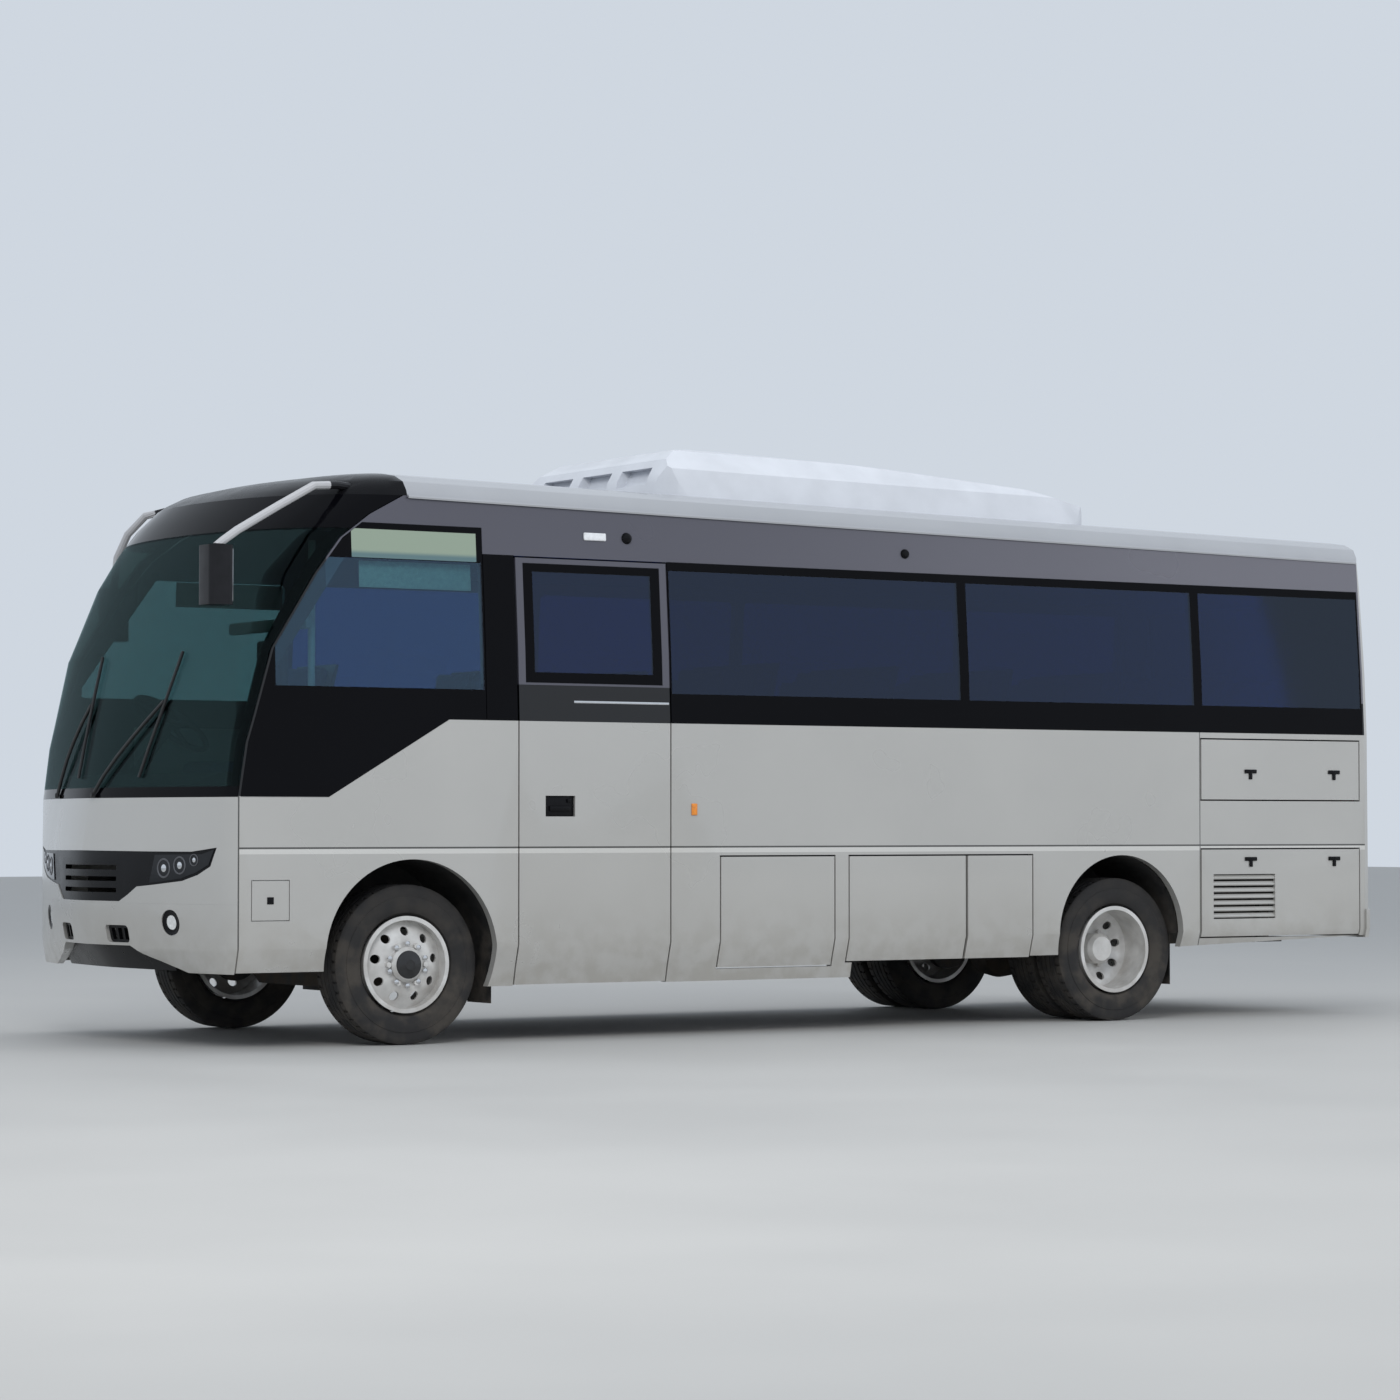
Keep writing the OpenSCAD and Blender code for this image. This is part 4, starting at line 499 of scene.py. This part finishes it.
def tyreProfile():        # (radius, height) from one bead over the tread to the other
    r, w, g = tyre["radius"], tyre["half"], tyre["groove"] / 2
    side = [(tyre["bead"], 0.074), (0.246, 0.082), (0.252, 0.098), (0.262, 0.104), (0.272, 0.1085),
            (0.290, 0.1125), (0.312, w), (0.330, 0.1115), (0.333, 0.1085), (0.350, 0.1085), (0.366, 0.1075),
            (r - 0.012, 0.1045), (r - 0.003, 0.099)]
    top = []
    pitch = 2 * tyre["tread"] / tyre["ribs"]
    for i in range(tyre["ribs"]):
        a, b = tyre["tread"] - i * pitch, tyre["tread"] - (i + 1) * pitch
        crown = r - tyre["crown"] * abs(a + b) / tyre["crownSpan"]
        floor = crown - tyre["depth"]
        top += [(floor, a - g * 0.5), (crown, a - g)] if i else [(crown, a)]
        top += [(crown, b + g), (floor, b + g * 0.5)] if i < tyre["ribs"] - 1 else [(crown, b)]
    return side + top + [(q, -h) for q, h in reversed(side)]


def makeTyre(name, body, centres, replaced):
    mesh = bmesh.new()
    for x, y in centres:
        lathe(mesh, shift(x, y, axleZ) @ Matrix.Rotation(math.pi / 2, 4, "X"), tyreProfile(), tyre["cuts"])
    cuts = []
    inner, outer = tyre["shoulder"]
    for f in mesh.faces:
        c = f.calc_center_median()
        x, y = min(centres, key=lambda k: abs(k[1] - c.y))
        high = math.hypot(c.x - x, c.z - axleZ) > tyre["radius"] - 0.004
        turn = math.atan2(c.z - axleZ, c.x - x) / (2 * math.pi)
        step = int(round(turn * tyre["cuts"] + 0.25)) + (2 if c.y > y else 0)
        if high and inner < abs(c.y - y) < outer and step % tyre["every"] == 0:
            cuts.append(f)
    bmesh.ops.inset_individual(mesh, faces=cuts, thickness=tyre["cutEdge"], depth=-tyre["cutDepth"])
    piece = finishPiece(mesh, name, looks["tyre_rubber"], body)
    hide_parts(replaced)


for side, cap in sides:
    word = cap.lower()
    makeTyre("tyreFront" + cap, "wheel_front_" + word, [(frontX, side * frontY)], "front_tyre_" + word)
    makeTyre("tyresRear" + cap, "wheels_rear_" + word,
             [(rearX, side * rearY), (rearX, side * (rearY - twin))], "rear_tyres_" + word)
print("tyres")

# hub caps and nut covers of the front wheels
hub = {"radius": 0.070, "out": 0.132, "nuts": 10, "circle": 0.102, "nut": 0.013, "nutOut": 0.112}
for side, cap in sides:
    outwards = Matrix.Rotation(-side * math.pi / 2, 4, "X")
    body = "wheel_front_" + cap.lower()
    r, n = hub["radius"], hub["nut"]
    mesh = bmesh.new()
    lathe(mesh, shift(frontX, side * (frontY + hub["out"]), axleZ) @ outwards,
          [(0.0, 0.012), (r * 0.35, 0.012), (r * 0.42, 0.008), (r * 0.8, 0.006), (r * 0.95, 0.001),
           (r * 1.0, -0.006), (r * 0.98, -0.014)], 64)
    finishPiece(mesh, "hubCap" + cap, looks["hub_black"], body)
    mesh = bmesh.new()
    for a in around(hub["nuts"], 0.5):
        spot = shift(frontX + hub["circle"] * math.cos(a), side * (frontY + hub["nutOut"]),
                     axleZ + hub["circle"] * math.sin(a))
        lathe(mesh, spot @ outwards,
              [(0.0, 0.012), (n * 0.6, 0.011), (n * 0.95, 0.007), (n * 1.05, 0.0)], 12)
    finishPiece(mesh, "nutCovers" + cap, looks["chrome"], body)
print("hub caps")

# headlamps: rings and bulbs that stand on the dark lens (y, z, radius of each)
lamps = {"spots": [(0.665, 0.862, 0.048), (0.775, 0.876, 0.044), (0.872, 0.902, 0.030)], "proud": 0.0006,
         "lip": 0.0022}
rings, bulbs = bmesh.new(), bmesh.new()
for side in (1, -1):
    for y, z, r in lamps["spots"]:
        place = frontPlace(side * y, z, lamps["proud"])
        lathe(rings, place,
              [(r * 0.80, 0.0), (r * 0.84, lamps["lip"]), (r * 0.96, lamps["lip"]), (r, 0.0)], 48)
        lathe(bulbs, place, [(0.0, 0.0026), (r * 0.2, 0.0023), (r * 0.32, 0.0012), (r * 0.38, 0.0)], 40)
finishPiece(rings, "headlampRings", looks["lamp_ring"], "body")
finishPiece(bulbs, "headlampBulbs", looks["chrome"], "body")

# fog lamps: a dark ring round a bright lens
fog = {"y": 0.708, "z": 0.602, "outer": 0.060, "inner": 0.034, "sunk": 0.0095}
mesh = bmesh.new()
for side in (1, -1):
    a, b = fog["inner"], fog["outer"]
    lathe(mesh, frontPlace(side * fog["y"], fog["z"], -fog["sunk"]),
          [(a, 0.0), (a + 0.003, 0.004), ((a + b) / 2, 0.003), (b - 0.004, 0.007), (b, 0.0075),
           (b, 0.0)], 56)
finishPiece(mesh, "fogBezels", looks["black_trim"], "body")
print("lamps")

# fittings on the left side: places are the distance back from the station, then the height
fittings = {"latches": [(5.34, 1.369, "service_flap_left_high"), (5.96, 1.369, "service_flap_left_high"),
                        (5.34, 0.881, "service_flap_left_low"), (5.96, 0.881, "service_flap_left_low")],
            "handle": (0.765, 0.936, 1.111, 1.214), "handleSunk": 0.017,
            "marker": (1.64, 1.148), "markerSize": (0.034, 0.060, 0.010),
            "doorLamp": (1.08, 2.512), "doorLampSize": (0.130, 0.040, 0.014),
            "doorDome": (1.27, 2.512), "railDome": (3.0, 2.50), "strip": (0.93, 1.49, 1.681),
            "fuelLatch": (-0.748, 0.710), "fuelLatchSize": (0.034, 0.034, 0.006)}

for i, (back, z, body) in enumerate(fittings["latches"]):        # T-handles on the service flaps
    mesh = bmesh.new()
    place = sidePlace(back, z, 0.004)
    block(mesh, place, (0.085, 0.022, 0.008), 0.003)
    block(mesh, place @ shift(0, 0.024, 0), (0.022, 0.040, 0.008), 0.003)
    lathe(mesh, place @ shift(0, 0, 0.004), [(0.0, 0.003), (0.006, 0.0028), (0.009, 0.0)], 20)
    finishPiece(mesh, "flapLatch%d" % i, looks["black_trim"], body)

mesh = bmesh.new()        # door handle in its recess: tray, grip and lock
near, far, low, high = fittings["handle"]
place = sidePlace((near + far) / 2, (low + high) / 2, -fittings["handleSunk"])
block(mesh, place, (far - near - 0.002, high - low - 0.002, 0.008), 0.003)
block(mesh, place @ shift(0, 0.012, 0.010), (far - near - 0.05, 0.026, 0.014), 0.005)
block(mesh, place @ shift(-0.055, -0.028, 0.008), (0.022, 0.022, 0.010), 0.005)
finishPiece(mesh, "doorHandle", looks["black_trim"], "door")

mesh = bmesh.new()
block(mesh, sidePlace(*fittings["marker"], 0.002), fittings["markerSize"], 0.004, 3)
finishPiece(mesh, "sideMarker", looks["amber"], "body")

mesh = bmesh.new()
block(mesh, sidePlace(*fittings["doorLamp"], 0.004), fittings["doorLampSize"], 0.006, 3)
finishPiece(mesh, "doorLamp", looks["clear_lamp"], "body")

mesh = bmesh.new()
lathe(mesh, sidePlace(*fittings["doorDome"]),
      [(0.0, 0.026), (0.012, 0.024), (0.022, 0.016), (0.027, 0.006), (0.030, 0.0)], 32)
lathe(mesh, sidePlace(*fittings["railDome"]),
      [(0.0, 0.020), (0.016, 0.018), (0.024, 0.008), (0.026, 0.0)], 32)
finishPiece(mesh, "railDomes", looks["black_trim"], "body")

mesh = bmesh.new()        # bright strip on the door's black band
near, far, z = fittings["strip"]
block(mesh, sidePlace((near + far) / 2, z, 0.001), (far - near, 0.012, 0.004), 0.0015)
finishPiece(mesh, "doorStrip", looks["chrome"], "door")

mesh = bmesh.new()
block(mesh, sidePlace(*fittings["fuelLatch"], 0.001), fittings["fuelLatchSize"], 0.002)
finishPiece(mesh, "fuelLatch", looks["black_trim"], "fuel_flap")
print("side fittings")

# mirror glasses in the backs of the heads
mirror = {"Left": (3.650, 1.225, 2.237), "Right": (3.055, -1.225, 2.177), "size": (0.246, 0.120, 0.005),
          "behind": 0.0575}
for side, cap in sides:
    x, y, z = mirror[cap]
    mesh = bmesh.new()
    place = shift(x - mirror["behind"], y, z) @ Matrix.Rotation(-math.pi / 2, 4, "Y")
    block(mesh, place, mirror["size"], 0.002)
    finishPiece(mesh, "mirrorGlass" + cap, looks["chrome"], "body")

# tail lamp discs, one piece for each height
tails = {"y": 0.965, "radius": 0.056, "out": -0.02,
         "spots": [(0.870, "clear_lamp"), (1.010, "amber"), (1.150, "lamp_red"), (1.280, "lamp_red")]}
for i, (z, finish) in enumerate(tails["spots"]):
    mesh = bmesh.new()
    r = tails["radius"]
    for side in (1, -1):
        lathe(mesh, tailPlace(side * tails["y"], z, tails["out"]),
              [(0.0, 0.006), (r * 0.5, 0.005), (r * 0.9, 0.002), (r, -0.004)], 40)
    finishPiece(mesh, "tailDisc%d" % i, looks[finish], "body")
print("mirrors and tail lamps")

# fans and their guards in the round wells of the roof unit, which leans with the roof; a dark disc under
# each fan fills its well with painted shade
fans = {"xs": (0.165, -0.385, -0.935), "well": 0.186, "floor": 3.0034, "lean": 0.9, "pivot": 2.545,
        "blades": 7, "pitch": 9, "blade": (0.12, 0.050, 0.003), "bladeOut": 0.105, "bladeUp": 0.006,
        "rings": (0.05, 0.08, 0.11, 0.14, 0.178), "wire": 0.003, "spokes": 8, "cover": 0.017}
guards, wheels = bmesh.new(), bmesh.new()
for x in fans["xs"]:
    lean = math.radians(fans["lean"])
    well = shift(x, 0, fans["floor"] - (fans["pivot"] - x) * math.tan(lean)) @ Matrix.Rotation(-lean, 4, "Y")
    cover = well @ shift(0, 0, fans["cover"])
    r, wire, reach = fans["well"], fans["wire"], fans["rings"][-1]
    # fan hub, and a dark disc across the whole well as painted shade
    lathe(wheels, well, [(0.0, 0.011), (0.040, 0.010), (0.048, 0.002), (r - 0.004, 0.002), (r, 0.0005)], 48)
    for a in around(fans["blades"]):
        blade = well @ Matrix.Rotation(a, 4, "Z") @ shift(fans["bladeOut"], 0, fans["bladeUp"])
        block(wheels, blade @ Matrix.Rotation(math.radians(fans["pitch"]), 4, "X"), fans["blade"], 0.001)
    for r in fans["rings"]:
        lathe(guards, cover, [(r - wire, 0.0), (r, wire), (r + wire, 0.0), (r, -wire), (r - wire, 0.0)], 48)
    for a in around(fans["spokes"]):
        spoke = cover @ Matrix.Rotation(a, 4, "Z") @ shift(reach / 2, 0, 0)
        block(guards, spoke, (reach, 0.006, 0.004), 0.0015)
finishPiece(wheels, "fanWheelsShadeDiscs", looks["wiper_black"], "body")
finishPiece(guards, "fanGuards", looks["tank_paint"], "body")

# blank plate in the rear recess
plate = {"place": (-3.744, 0, 0.517), "size": (0.006, 0.470, 0.100)}
mesh = bmesh.new()
block(mesh, shift(*plate["place"]), plate["size"], 0.002)
finishPiece(mesh, "rearPlate", looks["plate_blank"], "body")

# bright edges of the entry steps (y, z of each)
steps = {"x": 1.509, "rows": [(0.845, 0.382), (0.645, 0.577), (0.485, 0.772)], "size": (0.86, 0.028, 0.004)}
mesh = bmesh.new()
for y, z in steps["rows"]:
    block(mesh, shift(steps["x"], y, z + 0.001), steps["size"], 0.0015)
finishPiece(mesh, "stepEdges", looks["chrome"], "body")

# behind the windscreen and the driver's window: bar, post, stay, screen and blinds
cab = {"bar": ((2.98, 0.45, 2.05), (0.04, 0.85, 0.06)), "post": ((2.96, 0.86, 1.0), (2.96, 0.86, 2.45)),
       "stay": ((3.00, 0.30, 1.40), (2.96, 0.62, 1.62)), "screen": ((2.95, 0.42, 1.86), (0.05, 0.26, 0.24)),
       "blind": (0.085, 2.285, -0.066), "blindSize": (0.62, 0.130, 0.006)}
mesh = bmesh.new()
block(mesh, shift(*cab["bar"][0]), cab["bar"][1], 0.015)
rod(mesh, *cab["post"], 0.018)
rod(mesh, *cab["stay"], 0.020)
finishPiece(mesh, "cabRails", looks["pale_trim"], "body")
mesh = bmesh.new()
block(mesh, shift(*cab["screen"][0]), cab["screen"][1], 0.012)
finishPiece(mesh, "cabScreen", looks["dash_plastic"], "body")
mesh = bmesh.new()
for side in (1, -1):
    block(mesh, sidePlace(*cab["blind"], side), cab["blindSize"], 0.002)
finishPiece(mesh, "cabBlinds", looks["blind_cloth"], "body")
print("cab")


# seats: two padded forms, blown up by a short cloth run, then copied to every seat
seats = {"width": 0.410, "depth": 0.430, "thick": 0.100, "high": 0.620, "backThick": 0.090, "recline": 14,
         "pitch": 0.760, "bench": -3.180, "benchStep": 0.413, "z": 1.292, "pairY": 0.640, "pairGap": 0.010,
         "driver": (2.445, -0.600), "rowsLeft": 5, "rowsRight": 6}
cloth = {"start": 0.94, "round": 0.018, "voxel": 0.020, "cap": 0.024, "pressure": 4.0, "frames": 20}


def puff(name, size):        # a rounded block that swells to the pad's size at most
    mesh = bmesh.new()
    block(mesh, Matrix.Identity(4), tuple(s * cloth["start"] for s in size), cloth["round"])
    data = bpy.data.meshes.new(name)
    mesh.to_mesh(data)
    mesh.free()
    pad = bpy.data.objects.new(name, data)
    bpy.context.scene.collection.objects.link(pad)
    even = pad.modifiers.new("even", "REMESH")
    even.mode = "VOXEL"
    even.voxel_size = cloth["voxel"]
    form = bpy.data.meshes.new_from_object(pad.evaluated_get(bpy.context.evaluated_depsgraph_get()))
    pad.modifiers.clear()
    pad.data = form
    rest = [v.co.copy() for v in form.vertices]
    run = pad.modifiers.new("cloth", "CLOTH").settings
    run.use_pressure = True
    run.uniform_pressure_force = cloth["pressure"]
    run.effector_weights.gravity = 0.0
    for i in range(1, cloth["frames"] + 1):
        bpy.context.scene.frame_set(i)
    form = bpy.data.meshes.new_from_object(pad.evaluated_get(bpy.context.evaluated_depsgraph_get()))
    pad.modifiers.clear()
    for v, old in zip(form.vertices, rest):
        move = v.co - old
        if move.length > cloth["cap"]:
            v.co = old + move.normalized() * cloth["cap"]
        for i in range(3):
            v.co[i] = max(-size[i] / 2, min(size[i] / 2, v.co[i]))
    bpy.context.scene.frame_set(1)
    bpy.data.objects.remove(pad)
    return form


cushion = puff("cushionForm", (seats["depth"], seats["width"], seats["thick"]))
backrest = puff("backForm", (seats["backThick"], seats["width"], seats["high"]))
mesh = bmesh.new()


def addSeat(x, y):        # x is the back edge of the seat's frame
    low = shift(x + 0.230, y, seats["z"] + 0.055)
    lean = Matrix.Rotation(math.radians(-seats["recline"]), 4, "Y")
    high = shift(x - 0.020, y, seats["z"] + 0.040) @ lean @ shift(-0.050, 0, 0.320)
    for form, place in ((cushion, low), (backrest, high)):
        before = len(mesh.verts)
        mesh.from_mesh(form)
        mesh.verts.ensure_lookup_table()
        bmesh.ops.transform(mesh, matrix=place, verts=mesh.verts[before:])


half = (seats["width"] + seats["pairGap"]) / 2
for rows, middle in ((seats["rowsLeft"], seats["pairY"]), (seats["rowsRight"], -seats["pairY"])):
    for i in range(rows, 0, -1):
        for s in (-1, 1):
            addSeat(seats["bench"] + i * seats["pitch"], middle + s * half)
for i in range(-2, 3):
    addSeat(seats["bench"], i * seats["benchStep"])
addSeat(*seats["driver"])
pads = finishPiece(mesh, "seatPads", looks["seat_cloth"], "body", 80)
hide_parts("seat_pads")
print("seats")


def softLamp(name, place, aim, size, power):
    data = bpy.data.lights.new(name, "AREA")
    data.shape = "DISK"
    data.size = size
    data.energy = power
    lamp = bpy.data.objects.new(name, data)
    bpy.context.scene.collection.objects.link(lamp)
    lamp.location = place
    lamp.visible_glossy = False        # no lamp shapes in the panes
    lamp.rotation_euler = (Vector(aim) - Vector(place)).to_track_quat("-Z", "Y").to_euler()


def setCamera():
    data = bpy.data.cameras.new("photoCamera")
    data.lens = camera["focal"]
    data.clip_end = camera["far"]
    cam = bpy.data.objects.new("photoCamera", data)
    bpy.context.scene.collection.objects.link(cam)
    cam.location = (camera["x"], camera["y"], camera["z"])
    turn, tilt = math.radians(camera["turn"]), math.radians(camera["tilt"])
    look = Vector((-math.sin(turn), -math.cos(turn), math.tan(tilt)))
    cam.rotation_euler = look.to_track_quat("-Z", "Y").to_euler()
    bpy.context.scene.camera = cam


def setStudio():
    world = bpy.data.worlds.new("studio")
    bpy.context.scene.world = world
    world.use_nodes = True
    back = world.node_tree.nodes["Background"]
    back.inputs[0].default_value = (*studio["world"], 1)
    back.inputs[1].default_value = studio["worldPower"]
    mesh = bmesh.new()
    bmesh.ops.create_grid(mesh, x_segments=1, y_segments=1, size=studio["floorSize"])
    look = surface("floorFinish", studio["floor"], 0.75, mottle=(0.6, 0.04), grain=(40.0, 0.001))
    floor = finishPiece(mesh, "floorPlane", look)
    for lamp in studio["lamps"]:
        softLamp(*lamp)
    bpy.context.scene.view_settings.view_transform = "Standard"


setCamera()
setStudio()
print("camera and studio")
